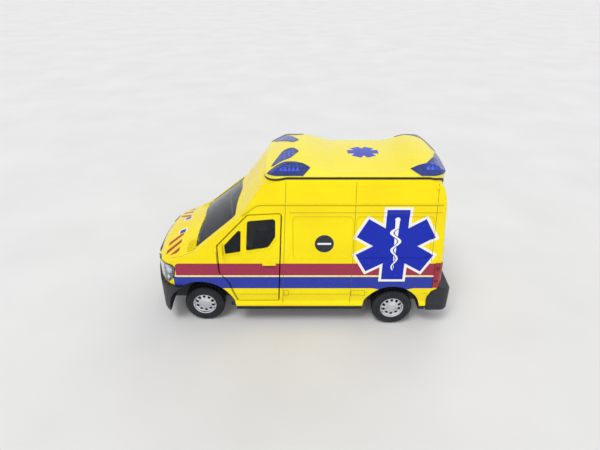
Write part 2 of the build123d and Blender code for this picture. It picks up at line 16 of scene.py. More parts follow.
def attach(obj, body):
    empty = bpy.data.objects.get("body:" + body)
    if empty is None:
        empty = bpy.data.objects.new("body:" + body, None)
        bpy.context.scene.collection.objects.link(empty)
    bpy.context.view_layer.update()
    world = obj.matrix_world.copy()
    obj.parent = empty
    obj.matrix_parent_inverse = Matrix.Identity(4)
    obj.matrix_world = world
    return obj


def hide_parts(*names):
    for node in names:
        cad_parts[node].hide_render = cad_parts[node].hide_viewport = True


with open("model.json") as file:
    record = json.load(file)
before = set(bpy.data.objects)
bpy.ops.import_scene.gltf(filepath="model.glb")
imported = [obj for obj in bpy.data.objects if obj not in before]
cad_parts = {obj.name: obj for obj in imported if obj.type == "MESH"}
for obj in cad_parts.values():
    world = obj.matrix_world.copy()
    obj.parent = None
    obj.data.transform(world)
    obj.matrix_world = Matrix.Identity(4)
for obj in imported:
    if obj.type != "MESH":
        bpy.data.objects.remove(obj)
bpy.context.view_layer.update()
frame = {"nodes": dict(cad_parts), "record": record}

log = logging.getLogger("ambulance_van")

MM = 0.001
Socket = bpy.types.NodeSocket
Material = bpy.types.Material
Mesh = bmesh.types.BMesh
Feed = Union[float, Sequence[float], Socket, None]
Row = tuple[float, float]
Rows = tuple[Row, ...]
Point = tuple[float, float, float]
SIDES = (("left", -1), ("right", 1))

MATH = "ShaderNodeMath"
MIX = "ShaderNodeMix"
NOISE = "ShaderNodeTexNoise"
BUMP = "ShaderNodeBump"
RANGE = "ShaderNodeMapRange"
VECTOR = "ShaderNodeVectorMath"
JOIN = "ShaderNodeCombineXYZ"
SURFACE = "ShaderNodeBsdfPrincipled"


def linear(hex_code: str) -> tuple[float, float, float, float]:
    """Turn an sRGB hex code into linear colour.

    Args:
        hex_code: six hex digits after a hash sign.

    Returns:
        Red, green, blue and alpha in linear light.
    """
    parts = [int(hex_code[i : i + 2], 16) / 255 for i in (1, 3, 5)]
    low = [c / 12.92 if c <= 0.04045 else ((c + 0.055) / 1.055) ** 2.4 for c in parts]
    return (low[0], low[1], low[2], 1.0)


class Graph:
    """The node tree of one material or of the room, grown one node at a time."""

    def __init__(self, owner: Union[Material, bpy.types.World]) -> None:
        """Start an empty tree.

        Args:
            owner: the material, named for the real finish, or the world.
        """
        self.owner = owner
        owner.use_nodes = True
        self.tree = owner.node_tree
        self.tree.nodes.clear()
        self.place: dict[str, Socket] = {}

    def add(
        self, kind: str, feeds: Union[dict, Sequence[Feed]] = (), out: Union[int, str] = 0, **settings: object
    ) -> Socket:
        """Add one node with its settings and links.

        Args:
            kind: Blender's name for the node.
            feeds: what goes into its inputs, in order or by name.
            out: the output that is handed back.
            settings: the node's own properties.

        Returns:
            The chosen output socket.
        """
        node = self.tree.nodes.new(kind)
        for key, value in settings.items():
            setattr(node, key, value)
        pairs = feeds.items() if isinstance(feeds, dict) else enumerate(feeds)
        for key, value in pairs:
            if isinstance(value, bpy.types.NodeSocket):
                self.tree.links.new(value, node.inputs[key])
            elif value is not None:
                node.inputs[key].default_value = value
        return node.outputs[out] if node.outputs else None

    def position(self) -> dict[str, Socket]:
        """The place on the van.

        Returns:
            Its x, y and z in millimetres, and as "point" the vector they come from.
        """
        if not self.place:
            raw = self.add("ShaderNodeTexCoord", out="Object")
            scaled = self.add(VECTOR, {0: raw, "Scale": 1 / MM}, operation="SCALE")
            split = self.add("ShaderNodeSeparateXYZ", (scaled,)).node
            self.place = {"point": scaled, **dict(zip("xyz", split.outputs))}
        return self.place

    def mottled(self, size_mm: float, dark: str, light: str, detail: float = 2.0) -> Socket:
        """Colour that drifts between two tones.

        Args:
            size_mm: the distance from one patch to the next.
            dark: the deeper tone.
            light: the lighter tone.
            detail: how many finer layers lie in it.

        Returns:
            The colour.
        """
        speck = self.add(NOISE, {"Vector": self.position()["point"], "Scale": 1 / size_mm, "Detail": detail})
        wide = self.add(RANGE, {"Value": speck, "From Min": 0.3, "From Max": 0.7})
        return self.add(MIX, {0: wide, 6: linear(dark), 7: linear(light)}, out=2, data_type="RGBA")

    def handled(self, size_mm: float, low: float, high: float) -> Socket:
        """Roughness that changes in patches, as a handled surface does.

        Args:
            size_mm: the distance from one patch to the next.
            low: the roughness where it is rubbed smooth.
            high: the roughness where it is dull.

        Returns:
            The roughness.
        """
        speck = self.add(NOISE, {"Vector": self.position()["point"], "Scale": 1 / size_mm, "Detail": 3.0})
        feeds = {"Value": speck, "From Min": 0.3, "From Max": 0.7, "To Min": low, "To Max": high}
        return self.add(RANGE, feeds)

    def grained(self, size_mm: float, depth_mm: float, strength: float = 0.6) -> Socket:
        """The normal of fine relief left by a mould or a spray: grain to grain, and lowest to highest."""
        speck = self.add(NOISE, {"Vector": self.position()["point"], "Scale": 1 / size_mm, "Detail": 3.0})
        return self.add(BUMP, {"Height": speck, "Distance": depth_mm * MM, "Strength": strength})

    def between(self, value: Socket, low: float, high: float) -> Socket:
        """1 where the value lies between two limits and 0 elsewhere.

        Args:
            value: the value that is tested.
            low: the lower limit.
            high: the upper limit.

        Returns:
            The mask.
        """
        above = self.add(MATH, (value, low), operation="GREATER_THAN")
        below = self.add(MATH, (value, high), operation="LESS_THAN")
        return self.add(MATH, (above, below), operation="MULTIPLY")

    def all_of(self, *masks: Socket) -> Socket:
        """1 where every one of the masks is 1.

        Args:
            masks: the masks.

        Returns:
            Their common mask.
        """
        both = masks[0]
        for mask in masks[1:]:
            both = self.add(MATH, (both, mask), operation="MULTIPLY")
        return both

    def distance(self, u: Socket, v: Socket, at: Row) -> Socket:
        """How far a place in a plane lies from a point.

        Args:
            u: the coordinate across.
            v: the coordinate upwards.
            at: the point.

        Returns:
            The distance.
        """
        du = self.add(MATH, (u, at[0]), operation="SUBTRACT")
        dv = self.add(MATH, (v, at[1]), operation="SUBTRACT")
        arm = self.add(JOIN, (du, dv))
        return self.add(VECTOR, (arm,), out="Value", operation="LENGTH")

    def printed(self, base: Socket, *layers: tuple[Socket, Union[str, Socket]]) -> Socket:
        """Lay inks over a colour, one after another.

        Args:
            base: the colour below.
            layers: each ink's mask, with its colour as a hex code or a socket.

        Returns:
            The printed colour.
        """
        for mask, ink in layers:
            tone = linear(ink) if isinstance(ink, str) else ink
            base = self.add(MIX, {0: mask, 6: base, 7: tone}, out=2, data_type="RGBA")
        return base

    def closed(self, feeds: dict[str, Feed]) -> Material:
        """Give the tree its shader, fed by name, and its end, and hand back the material."""
        self.add("ShaderNodeOutputMaterial", (self.add(SURFACE, feeds),))
        return self.owner


# --- finishes ---


@dataclass(frozen=True)
class Staff:
    """A tapered rod with its knob and the snake that winds up it, in shares of the star's reach."""

    span: Row = (-0.66, 0.68)
    rod_half: Row = (0.008, 0.052)
    knob: float = 0.06
    coil: float = 0.46
    snake_top: float = 0.46
    widest_at: float = 0.5
    swing: Row = (0.04, 0.125)
    snake_half: Row = (0.016, 0.046)
    outline: float = 0.026

    def mask(self, graph: Graph, du: Socket, dv: Socket, size: float) -> Socket:
        """Draw the staff.

        Args:
            graph: the tree that it is drawn in.
            du: distance across from the star's middle.
            dv: distance up from the star's middle.
            size: the star's reach.

        Returns:
            The staff's mask.
        """
        low, high = self.span[0] * size, self.span[1] * size
        widest = self.widest_at * size
        rod_half, swing, thick = (
            graph.add(RANGE, {0: dv, 1: low, 2: top, "To Min": least * size, "To Max": most * size})
            for top, (least, most) in ((high, self.rod_half), (widest, self.swing), (widest, self.snake_half))
        )
        off = graph.add(MATH, (du,), operation="ABSOLUTE")
        rod = graph.add(MATH, (off, rod_half), operation="LESS_THAN")
        rod = graph.all_of(rod, graph.between(dv, low, high))
        knob = graph.add(MATH, (graph.distance(du, dv, (0.0, high)), self.knob * size), operation="LESS_THAN")
        wave = graph.add(MATH, (dv, 2 * math.pi / (self.coil * size)), operation="MULTIPLY")
        wave = graph.add(MATH, (wave,), operation="SINE")
        aside = graph.add(MATH, (du, graph.all_of(wave, swing)), operation="SUBTRACT")
        aside = graph.add(MATH, (aside,), operation="ABSOLUTE")
        length = graph.between(dv, low, self.snake_top * size)
        snake = graph.all_of(graph.add(MATH, (aside, thick), operation="LESS_THAN"), length)
        # a line of the ground colour parts the snake from the rod where it crosses
        outline = graph.add(MATH, (thick, self.outline * size), operation="ADD")
        parted = graph.all_of(graph.add(MATH, (aside, outline), operation="LESS_THAN"), length)
        rod = graph.all_of(rod, graph.add(MATH, (1.0, parted), operation="SUBTRACT"))
        both = graph.add(MATH, (rod, snake), operation="MAXIMUM")
        return graph.add(MATH, (both, knob), operation="MAXIMUM")


@dataclass(frozen=True)
class MedicalStar:
    """Six-armed star with a pale border and a staff, printed flat."""

    across: float
    up: float
    reach: float
    arm_width: float
    border: float
    arms_from_deg: float = 90.0
    staff: Union[Staff, None] = Staff()

    def masks(self, graph: Graph, u: Socket, v: Socket) -> tuple[Socket, Socket]:
        """Draw the star in a plane.

        Args:
            graph: the tree that it is drawn in.
            u: the coordinate across, in millimetres.
            v: the coordinate upwards, in millimetres.

        Returns:
            The mask of the pale ground and the mask of the coloured arms.
        """
        du = graph.add(MATH, (u, self.across), operation="SUBTRACT")
        dv = graph.add(MATH, (v, self.up), operation="SUBTRACT")
        pale: Feed = 0.0
        dark: Feed = 0.0
        half = self.arm_width / 2
        for turn in (0, 60, 120):
            angle = math.radians(self.arms_from_deg + turn)
            along_u = graph.add(MATH, (du, math.cos(angle)), operation="MULTIPLY")
            along = graph.add(MATH, (dv, math.sin(angle), along_u), operation="MULTIPLY_ADD")
            side_u = graph.add(MATH, (du, -math.sin(angle)), operation="MULTIPLY")
            side = graph.add(MATH, (dv, math.cos(angle), side_u), operation="MULTIPLY_ADD")
            far = graph.add(MATH, (along,), operation="ABSOLUTE")
            wide = graph.add(MATH, (side,), operation="ABSOLUTE")
            outer = self._bar(graph, far, wide, self.reach, half)
            inner = self._bar(graph, far, wide, self.reach - self.border, half - self.border)
            pale = graph.add(MATH, (pale, outer), operation="MAXIMUM")
            dark = graph.add(MATH, (dark, inner), operation="MAXIMUM")
        if self.staff is not None:
            shape = self.staff.mask(graph, du, dv, self.reach)
            dark = graph.all_of(dark, graph.add(MATH, (1.0, shape), operation="SUBTRACT"))
        return pale, dark

    def _bar(self, graph: Graph, far: Socket, wide: Socket, reach: float, half: float) -> Socket:
        """One arm and its opposite.

        Args:
            graph: the tree that they are drawn in.
            far: the distance from the star's middle along the arm.
            wide: the distance from the arm's middle line.
            reach: how far the arm goes.
            half: half its width.

        Returns:
            The mask.
        """
        in_reach = graph.add(MATH, (far, reach), operation="LESS_THAN")
        in_width = graph.add(MATH, (wide, half), operation="LESS_THAN")
        return graph.all_of(in_reach, in_width)


@dataclass(frozen=True)
class Ground:
    """What is printed on: its tree, the place on the van, the distance from its middle, the flanks' mask."""

    graph: Graph
    at: dict[str, Socket]
    away: Socket
    on_side: Socket


@dataclass(frozen=True)
class BodyEnamel:
    """Gloss yellow enamel sprayed on zinc die casting, with a pad-printed livery."""

    yellow: str = "#FFEB00"
    deep_yellow: str = "#FADF00"
    # the roof cap's tones: partly its own paler plastic, partly a painted reflection of glare that whitens it
    glare_paled_roof_yellow: str = "#FFF04A"
    glare_paled_deep_roof_yellow: str = "#FCE93A"
    red: str = "#A6324D"
    blue: str = "#2A3EA8"
    star_blue: str = "#0D28B0"
    cap_star_blue: str = "#3446C4"
    deep_red: str = "#9C3450"
    deep_line: str = "#F2E088"
    deep_blue: str = "#2E3AA2"
    pale: str = "#F6F4EC"
    line: str = "#FFF2A0"
    disc: str = "#2E3340"
    bar_red: str = "#B0412E"
    # bands: their heights, their reach along the van, and the red's round end
    red_band: Row = (29.6, 35.9)
    line_band: Row = (28.7, 29.6)
    blue_band: Row = (22.3, 28.7)
    band_span: Row = (-58.5, 61.2)
    red_from: float = -56.9
    red_corner: float = 1.8
    # the dip over the rear wheel: its middle, its bend and its lowest edge
    flare: Point = (42.7, 0.0128, 21.1)
    # the dark disc: its place and radius, and half the length and width of its bar
    disc_at: Point = (10.3, 45.6, 4.2)
    disc_bar: Row = (3.0, 0.45)
    # the bonnet's prints: slanting bars, and a mark on a pale patch, as spans of x and of y
    bonnet_over_z: float = 35.6
    bonnet_bars: tuple[float, ...] = (-28.4, -24.0, -19.7)
    bonnet_bar_half: float = 1.05
    bonnet_lean: Row = (0.64, 0.77)
    bar_field: Rows = ((-61.8, -55.4), (9.0, 22.9))
    mark_patch: Rows = ((-58.4, -54.4), (4.6, 8.4))
    mark: Rows = ((-57.8, -55.0), (5.4, 8.4))
    # printing keeps to the flanks, to faces that look outwards, and off the door handle's lip
    side_from_y: float = 20.5
    inward_limit: float = -4.0
    handle_span: Row = (-17.4, -11.2)
    handle_heights: Row = (35.0, 40.0)
    # sizes of the patches in which paint and ink drift in tone
    colour_patch: float = 24.0
    ink_patch: float = 2.2
    side_star: MedicalStar = MedicalStar(across=41.6, up=44.5, reach=18.3, arm_width=12.2, border=1.2)
    roof_star: MedicalStar = MedicalStar(27.8, 0.0, 6.9, 4.6, 0.0, arms_from_deg=0.0, staff=None)

    def casting(self) -> Material:
        """Paint for the metal body and doors, with the whole livery.

        Returns:
            The material.
        """
        graph = Graph(bpy.data.materials.new("yellow_enamel_on_zinc_casting"))
        at = graph.position()
        away = graph.add(MATH, (at["y"],), operation="ABSOLUTE")
        # faces that look inwards are not printed, so the inside stays bare
        facing = graph.add("ShaderNodeTexCoord", out="Normal")
        turned_y = graph.add("ShaderNodeSeparateXYZ", (facing,), out="Y")
        outwards = graph.add(MATH, (at["y"], turned_y), operation="MULTIPLY")
        outwards = graph.add(MATH, (outwards, self.inward_limit), operation="GREATER_THAN")
        far_enough = graph.add(MATH, (away, self.side_from_y), operation="GREATER_THAN")
        ground = Ground(graph, at, away, graph.all_of(far_enough, outwards))
        base = graph.mottled(self.colour_patch, self.deep_yellow, self.yellow)
        base = self._disc(ground, self._bands(ground, base))
        star = self.side_star.masks(graph, at["x"], at["z"])
        pale, dark = (graph.all_of(mask, ground.on_side) for mask in star)
        base = graph.printed(base, (pale, self.pale), (dark, self.star_blue))
        return self._gloss(graph, self._bonnet(ground, base))

    def moulding(self) -> Material:
        """Yellow plastic of the roof cap with its small star, paler than the body partly in its own tone and
        partly as a painted reflection of glare.

        Returns:
            The material.
        """
        graph = Graph(bpy.data.materials.new("yellow_moulded_plastic"))
        at = graph.position()
        # paler tones: partly the cap's own plastic, partly painted glare
        base = graph.mottled(self.colour_patch, self.glare_paled_deep_roof_yellow, self.glare_paled_roof_yellow)
        _, dark = self.roof_star.masks(graph, at["x"], at["y"])
        return self._gloss(graph, graph.printed(base, (dark, self.cap_star_blue)))

    def _gloss(self, graph: Graph, base: Socket) -> Material:
        """Close the paint: a wet gloss over a faint orange peel, softened at its edges.

        Args:
            graph: the tree.
            base: the painted colour.

        Returns:
            The material.
        """
        # sprayed paint draws back from sharp edges, so they catch a soft line of light
        peel = graph.grained(size_mm=1.1, depth_mm=0.01, strength=0.5)
        edge = graph.add("ShaderNodeBevel", {"Radius": 0.45 * MM, "Normal": peel}, samples=4)
        feeds = {
            "Base Color": base,
            "Roughness": graph.handled(size_mm=3.5, low=0.2, high=0.3),
            "Normal": edge,
            "IOR": 1.42,
            "Specular IOR Level": 0.34,
        }
        return graph.closed(feeds)

    def _bands(self, ground: Ground, base: Socket) -> Socket:
        """Print the red and blue bands with the pale line between them.

        Args:
            ground: what is printed on.
            base: the colour below.

        Returns:
            The printed colour.
        """
        graph, at = ground.graph, ground.at
        reach = graph.all_of(graph.between(at["x"], *self.band_span), ground.on_side)
        # the red ink ends in a round corner at the front
        before = graph.add(MATH, (self.red_from + self.red_corner, at["x"]), operation="SUBTRACT")
        before = graph.add(MATH, (before, 0.0), operation="MAXIMUM")
        above = graph.add(MATH, (at["z"], self.red_band[1] - self.red_corner), operation="SUBTRACT")
        above = graph.add(MATH, (above, 0.0), operation="MAXIMUM")
        corner = graph.distance(before, above, (0.0, 0.0))
        red_end = graph.add(MATH, (corner, self.red_corner), operation="LESS_THAN")
        # the printing pad misses the raised lip of the door handle
        lip_x, lip_z = graph.between(at["x"], *self.handle_span), graph.between(at["z"], *self.handle_heights)
        clear = graph.add(MATH, (1.0, graph.all_of(lip_x, lip_z)), operation="SUBTRACT")
        red_end = graph.all_of(red_end, clear)
        # over the rear wheel the blue ink dips to the arch in a shallow curve
        middle_x, bend, lowest = self.flare
        along = graph.add(MATH, (at["x"], middle_x), operation="SUBTRACT")
        along = graph.add(MATH, (along, along), operation="MULTIPLY")
        edge = graph.add(MATH, (along, bend, lowest), operation="MULTIPLY_ADD")
        dipped = graph.add(MATH, (at["z"], edge), operation="GREATER_THAN")
        for span, light, deep, end in (
            (self.red_band, self.red, self.deep_red, red_end),
            (self.line_band, self.line, self.deep_line, reach),
            (self.blue_band, self.blue, self.deep_blue, reach),
            ((lowest, self.blue_band[0]), self.blue, self.deep_blue, dipped),
        ):
            mask = graph.all_of(graph.between(at["z"], *span), reach, end)
            base = graph.printed(base, (mask, graph.mottled(self.ink_patch, deep, light, detail=4.0)))
        return base

    def _disc(self, ground: Ground, base: Socket) -> Socket:
        """Print the dark disc with its pale bar.

        Args:
            ground: what is printed on.
            base: the colour below.

        Returns:
            The printed colour.
        """
        graph, at = ground.graph, ground.at
        x, z, r = self.disc_at
        half_length, half_width = self.disc_bar
        inside = graph.add(MATH, (graph.distance(at["x"], at["z"], (x, z)), r), operation="LESS_THAN")
        disc = graph.all_of(inside, ground.on_side)
        level = graph.between(at["z"], z - half_width, z + half_width)
        bar = graph.all_of(graph.between(at["x"], x - half_length, x + half_length), level, disc)
        return graph.printed(base, (disc, self.disc), (bar, self.pale))

    def _bonnet(self, ground: Ground, base: Socket) -> Socket:
        """Print the slanting bars and the small blue mark on each side of the bonnet.

        Args:
            ground: what is printed on.
            base: the colour below.

        Returns:
            The printed colour.
        """
        graph, at = ground.graph, ground.at
        on_top = graph.add(MATH, (at["z"], self.bonnet_over_z), operation="GREATER_THAN")
        field, patch, mark = (
            graph.all_of(graph.between(at["x"], *along), graph.between(ground.away, *across), on_top)
            for along, across in (self.bar_field, self.mark_patch, self.mark)
        )
        lean = graph.add(MATH, (at["x"], self.bonnet_lean[0]), operation="MULTIPLY")
        lean = graph.add(MATH, (ground.away, self.bonnet_lean[1], lean), operation="MULTIPLY_ADD")
        half = self.bonnet_bar_half
        stripes = [graph.between(lean, middle - half, middle + half) for middle in self.bonnet_bars]
        bars = [(graph.all_of(stripe, field), self.bar_red) for stripe in stripes]
        return graph.printed(base, *bars, (patch, self.pale), (mark, self.star_blue))


class Moulding(Enum):
    """Plain moulded finishes, and painted shade for grooves, gaps and holes: name, dark and light tone, low
    and high roughness, grain and relief in mm.
    """

    BLACK_BASE = ("black_satin_polypropylene", "#17181E", "#24262E", 0.42, 0.58, 0.7, 0.02)
    GREY_INSIDE = ("grey_satin_moulded_plastic", "#34363D", "#474A53", 0.45, 0.6, 0.9, 0.02)
    TYRE_VINYL = ("soft_black_vinyl", "#14161A", "#20232A", 0.55, 0.75, 0.5, 0.03)
    # painted shade: dark colour on thin strips and discs where grooves, gaps and holes fall in shadow
    GROOVE_SHADE = ("shadowed_groove_in_yellow_enamel", "#574804", "#6C5A06", 0.5, 0.65, 0.6, 0.01)
    GAP_SHADE = ("painted_shade_in_gaps_and_holes", "#17160F", "#262313", 0.6, 0.75, 0.6, 0.01)

    def build(self) -> Material:
        """Make the moulded plastic.

        Returns:
            The material.
        """
        name, dark, light, low, high, size, depth = self.value
        graph = Graph(bpy.data.materials.new(name))
        # spark-eroded tooling leaves a fine even grain that breaks up the highlights
        feeds = {
            "Base Color": graph.mottled(size * 14, dark, light),
            "Roughness": graph.handled(size * 9, low, high),
            "Normal": graph.grained(size, depth, strength=0.7),
            "IOR": 1.49,
        }
        return graph.closed(feeds)


class Glazing(Enum):
    """See-through parts: name, tint, deeper tint, low and high roughness, ripple in mm, share let by, IOR."""

    SMOKE = ("smoke_tinted_polystyrene_glazing", "#7E8694", "#6E7684", 0.03, 0.07, 0.004, 0.93, 1.18)
    CLEAR = ("clear_polystyrene_lens", "#F6F8FA", "#ECF0F3", 0.02, 0.05, 0.002, 1.0, 1.49)
    BLUE = ("translucent_blue_polystyrene_lens", "#4668E8", "#2A44C8", 0.08, 0.18, 0.02, 0.75, 1.49)

    def build(self) -> Material:
        """Make the clear plastic.

        Returns:
            The material.
        """
        name, light, deep, low, high, depth, share, bend = self.value
        graph = Graph(bpy.data.materials.new(name))
        # injection moulding leaves a slow ripple that bends what shows through
        feeds = {
            "Base Color": graph.mottled(9.0, deep, light),
            "Roughness": graph.handled(3.0, low, high),
            "Normal": graph.grained(6.0, depth),
            "IOR": bend,
            "Transmission Weight": share,
        }
        return graph.closed(feeds)


class Plating(Enum):
    """The bright metal finishes: name, deep tone, light tone, roughness low and high, haze patch in mm."""

    CHROME = ("vacuum_plated_bright_plastic", "#C9CCD2", "#E9EBEE", 0.08, 0.2, 2.4)
    REFLECTOR = ("silvered_lamp_reflector", "#D2D6DC", "#ECEEF1", 0.06, 0.14, 1.6)
    BEZEL = ("grey_metallised_lamp_bezel", "#5C626C", "#747A85", 0.3, 0.42, 1.6)
    WIRE = ("drawn_bright_steel_wire", "#8F9399", "#BFC2C6", 0.22, 0.38, 1.2)

    def build(self) -> Material:
        """Make the metal.

        Returns:
            The material.
        """
        name, deep, light, low, high, size = self.value
        graph = Graph(bpy.data.materials.new(name))
        # a thin plated skin mirrors the room, with a haze where fingers have been
        feeds = {
            "Base Color": graph.mottled(size, deep, light, detail=4.0),
            "Metallic": 1.0,
            "Roughness": graph.handled(size, low, high),
            "Normal": graph.grained(size * 0.3, depth_mm=0.004, strength=0.5),
        }
        return graph.closed(feeds)


@dataclass(frozen=True)
class TailLens:
    """Red plastic lens with fine ribs moulded across it."""

    name: str
    deep: str
    light: str
    rib_pitch: float = 0.8

    def build(self) -> Material:
        """Make the lens.

        Returns:
            The material.
        """
        graph = Graph(bpy.data.materials.new(self.name))
        at = graph.position()
        wave = graph.add(MATH, (at["z"], 2 * math.pi / self.rib_pitch), operation="MULTIPLY")
        rib = graph.add(MATH, (wave,), operation="SINE")
        # moulded ribs spread the lamp's light, and show as fine level stripes
        feeds = {
            "Base Color": graph.mottled(5.0, self.deep, self.light),
            "Roughness": graph.handled(size_mm=2.0, low=0.12, high=0.24),
            "Normal": graph.add(BUMP, {"Height": rib, "Distance": 0.03 * MM, "Strength": 0.5}),
            "IOR": 1.49,
            "Coat Weight": 0.2,
        }
        return graph.closed(feeds)


class Finishes:
    """Every material of the van, each made once."""

    def __init__(self) -> None:
        """Make them all."""
        enamel = BodyEnamel()
        self.enamel = enamel.casting()
        self.roof = enamel.moulding()
        self.black = Moulding.BLACK_BASE.build()
        self.grey = Moulding.GREY_INSIDE.build()
        self.tyre = Moulding.TYRE_VINYL.build()
        # painted shade for grooves, and for gaps and holes
        self.groove = Moulding.GROOVE_SHADE.build()
        self.gap = Moulding.GAP_SHADE.build()
        self.smoke = Glazing.SMOKE.build()
        self.clear = Glazing.CLEAR.build()
        self.blue = Glazing.BLUE.build()
        self.red = TailLens("red_gloss_polystyrene_lens", "#901426", "#A61C2E").build()
        self.dark_red = TailLens("dark_red_round_lens", "#4E0A12", "#6A0E18", 0.4).build()
        self.chrome = Plating.CHROME.build()
        self.silver = Plating.REFLECTOR.build()
        self.bezel = Plating.BEZEL.build()
        self.wire = Plating.WIRE.build()

    def by_slot(self) -> dict[str, Material]:
        """Match the materials to the record's slots.

        Returns:
            The material for each slot.
        """
        return {
            "yellow_paint": self.enamel,
            "yellow_plastic": self.roof,
            "black_plastic": self.black,
            "grey_plastic": self.grey,
            "tinted_glazing": self.smoke,
            "clear_lens": self.clear,
            "blue_lens": self.blue,
            "red_lens": self.red,
            "chrome": self.chrome,
            "axle_steel": self.wire,
            "tyre_rubber": self.tyre,
        }

    def dress(self, record: dict) -> None:
        """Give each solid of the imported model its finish.

        Args:
            record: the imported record, whose sub-parts name their slots.
        """
        slots = self.by_slot()
        for part in record["subparts"]:
            node = frame["nodes"][part["node"]]
            node.data.materials.clear()
            node.data.materials.append(slots[part["material_slot"]])
            for polygon in node.data.polygons:
                polygon.material_index = 0


# --- mesh helpers ---

# a groove's shadow lies this far over the paint, in mm
SHADE = 0.02
# edges stay sharp from these angles, in degrees: on plain pieces and on rounded ones
PLAIN, ROUNDED = 40.0, 60.0


def piece(
    name: str, body: str, finish: Material, mesh: Mesh, sharp_deg: float = PLAIN
) -> bpy.types.Object:
    """Turn a mesh into a smooth piece of the van that rides on a body.

    Args:
        name: the piece's name.
        body: the body it moves with.
        finish: its material.
        mesh: its shape in millimetres, in the van's frame.
        sharp_deg: the angle from which an edge stays sharp; 0 leaves the piece faceted.

    Returns:
        The new object.
    """
    bmesh.ops.scale(mesh, vec=(MM, MM, MM), verts=mesh.verts)
    bmesh.ops.recalc_face_normals(mesh, faces=mesh.faces)
    data = bpy.data.meshes.new(name)
    mesh.to_mesh(data)
    mesh.free()
    data.materials.append(finish)
    if sharp_deg:
        for polygon in data.polygons:
            polygon.use_smooth = True
        data.set_sharp_from_angle(angle=math.radians(sharp_deg))
    made = bpy.data.objects.new(name, data)
    bpy.context.scene.collection.objects.link(made)
    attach(made, body)
    log.info("%s on %s: %d faces", name, body, len(data.polygons))
    return made


def turns(steps: int, shift: float = 0.0) -> list[float]:
    """Angles in radians of even steps round a circle, the first moved on by a share of a step."""
    return [2 * math.pi * (step + shift) / steps for step in range(steps)]


def bridge(mesh: Mesh, low: Sequence[bmesh.types.BMVert], high: Sequence[bmesh.types.BMVert]) -> None:
    """Join two rings of points with a band of faces.

    Args:
        mesh: the mesh that both belong to.
        low: one ring, or a single point.
        high: the other.
    """
    steps = max(len(low), len(high))
    for step in range(steps):
        after = (step + 1) % steps
        corners = [low[step % len(low)], low[after % len(low)]]
        corners += [high[after % len(high)], high[step % len(high)]]
        mesh.faces.new(list(dict.fromkeys(corners)))


def turned(
    mesh: Mesh, rows: Sequence[Row], centre: Vector, axis: Vector, steps: int, is_ring: bool = False
) -> None:
    """Add a form turned about an axis.

    Args:
        mesh: the mesh it is added to.
        rows: profile of (depth along the axis, radius); a radius of 0 closes to a point.
        centre: where the axis starts.
        axis: the direction in which depth grows.
        steps: how many facets go round.
        is_ring: whether the profile's last row joins its first.
    """
    axis = axis.normalized()
    first = axis.orthogonal().normalized()
    second = axis.cross(first)
    rings = []
    for depth, r in rows:
        foot = centre + axis * depth
        spokes = [first * r * math.cos(t) + second * r * math.sin(t) for t in turns(steps if r else 1)]
        rings.append([mesh.verts.new(foot + spoke) for spoke in spokes])
    if is_ring:
        rings.append(rings[0])
    for low, high in zip(rings, rings[1:]):
        bridge(mesh, low, high)


class Face(Enum):
    """A side of the van that trim is drawn for: the axis it drops along, and how far out it starts in mm."""

    BACK = (0, 80.0)
    FLANK = (1, 40.0)
    TOP = (2, 100.0)

    def point(self, row: Row, side: int) -> Vector:
        """Place one corner of a drawing, clear of the van.

        Args:
            row: its two coordinates in this view, with y counted from the van's middle.
            side: -1 on the left and 1 on the right.

        Returns:
            The point in millimetres.
        """
        axis, away = self.value
        x, y, z = (*row[:axis], away, *row[axis:])
        return Vector((x, side * y, z))

    def inward(self, side: int) -> Vector:
        """The direction in which trim drops on to this side of the van."""
        x, y, z = (-1 if axis == self.value[0] else 0 for axis in range(3))
        return Vector((x, side * y, z))


@dataclass(frozen=True)
class Cut:
    """A strip's cross-section: its width at the foot, how proud its top stands, and the step to the next."""

    width: float
    proud: float = SHADE
    step: float = 0.7


@dataclass(frozen=True)
class Strip:
    """A strip to lay on a surface: a raised bead, or a groove's shadow where it is hardly proud."""

    face: Face
    rows: Sequence[Row]
    side: int
    cut: Cut


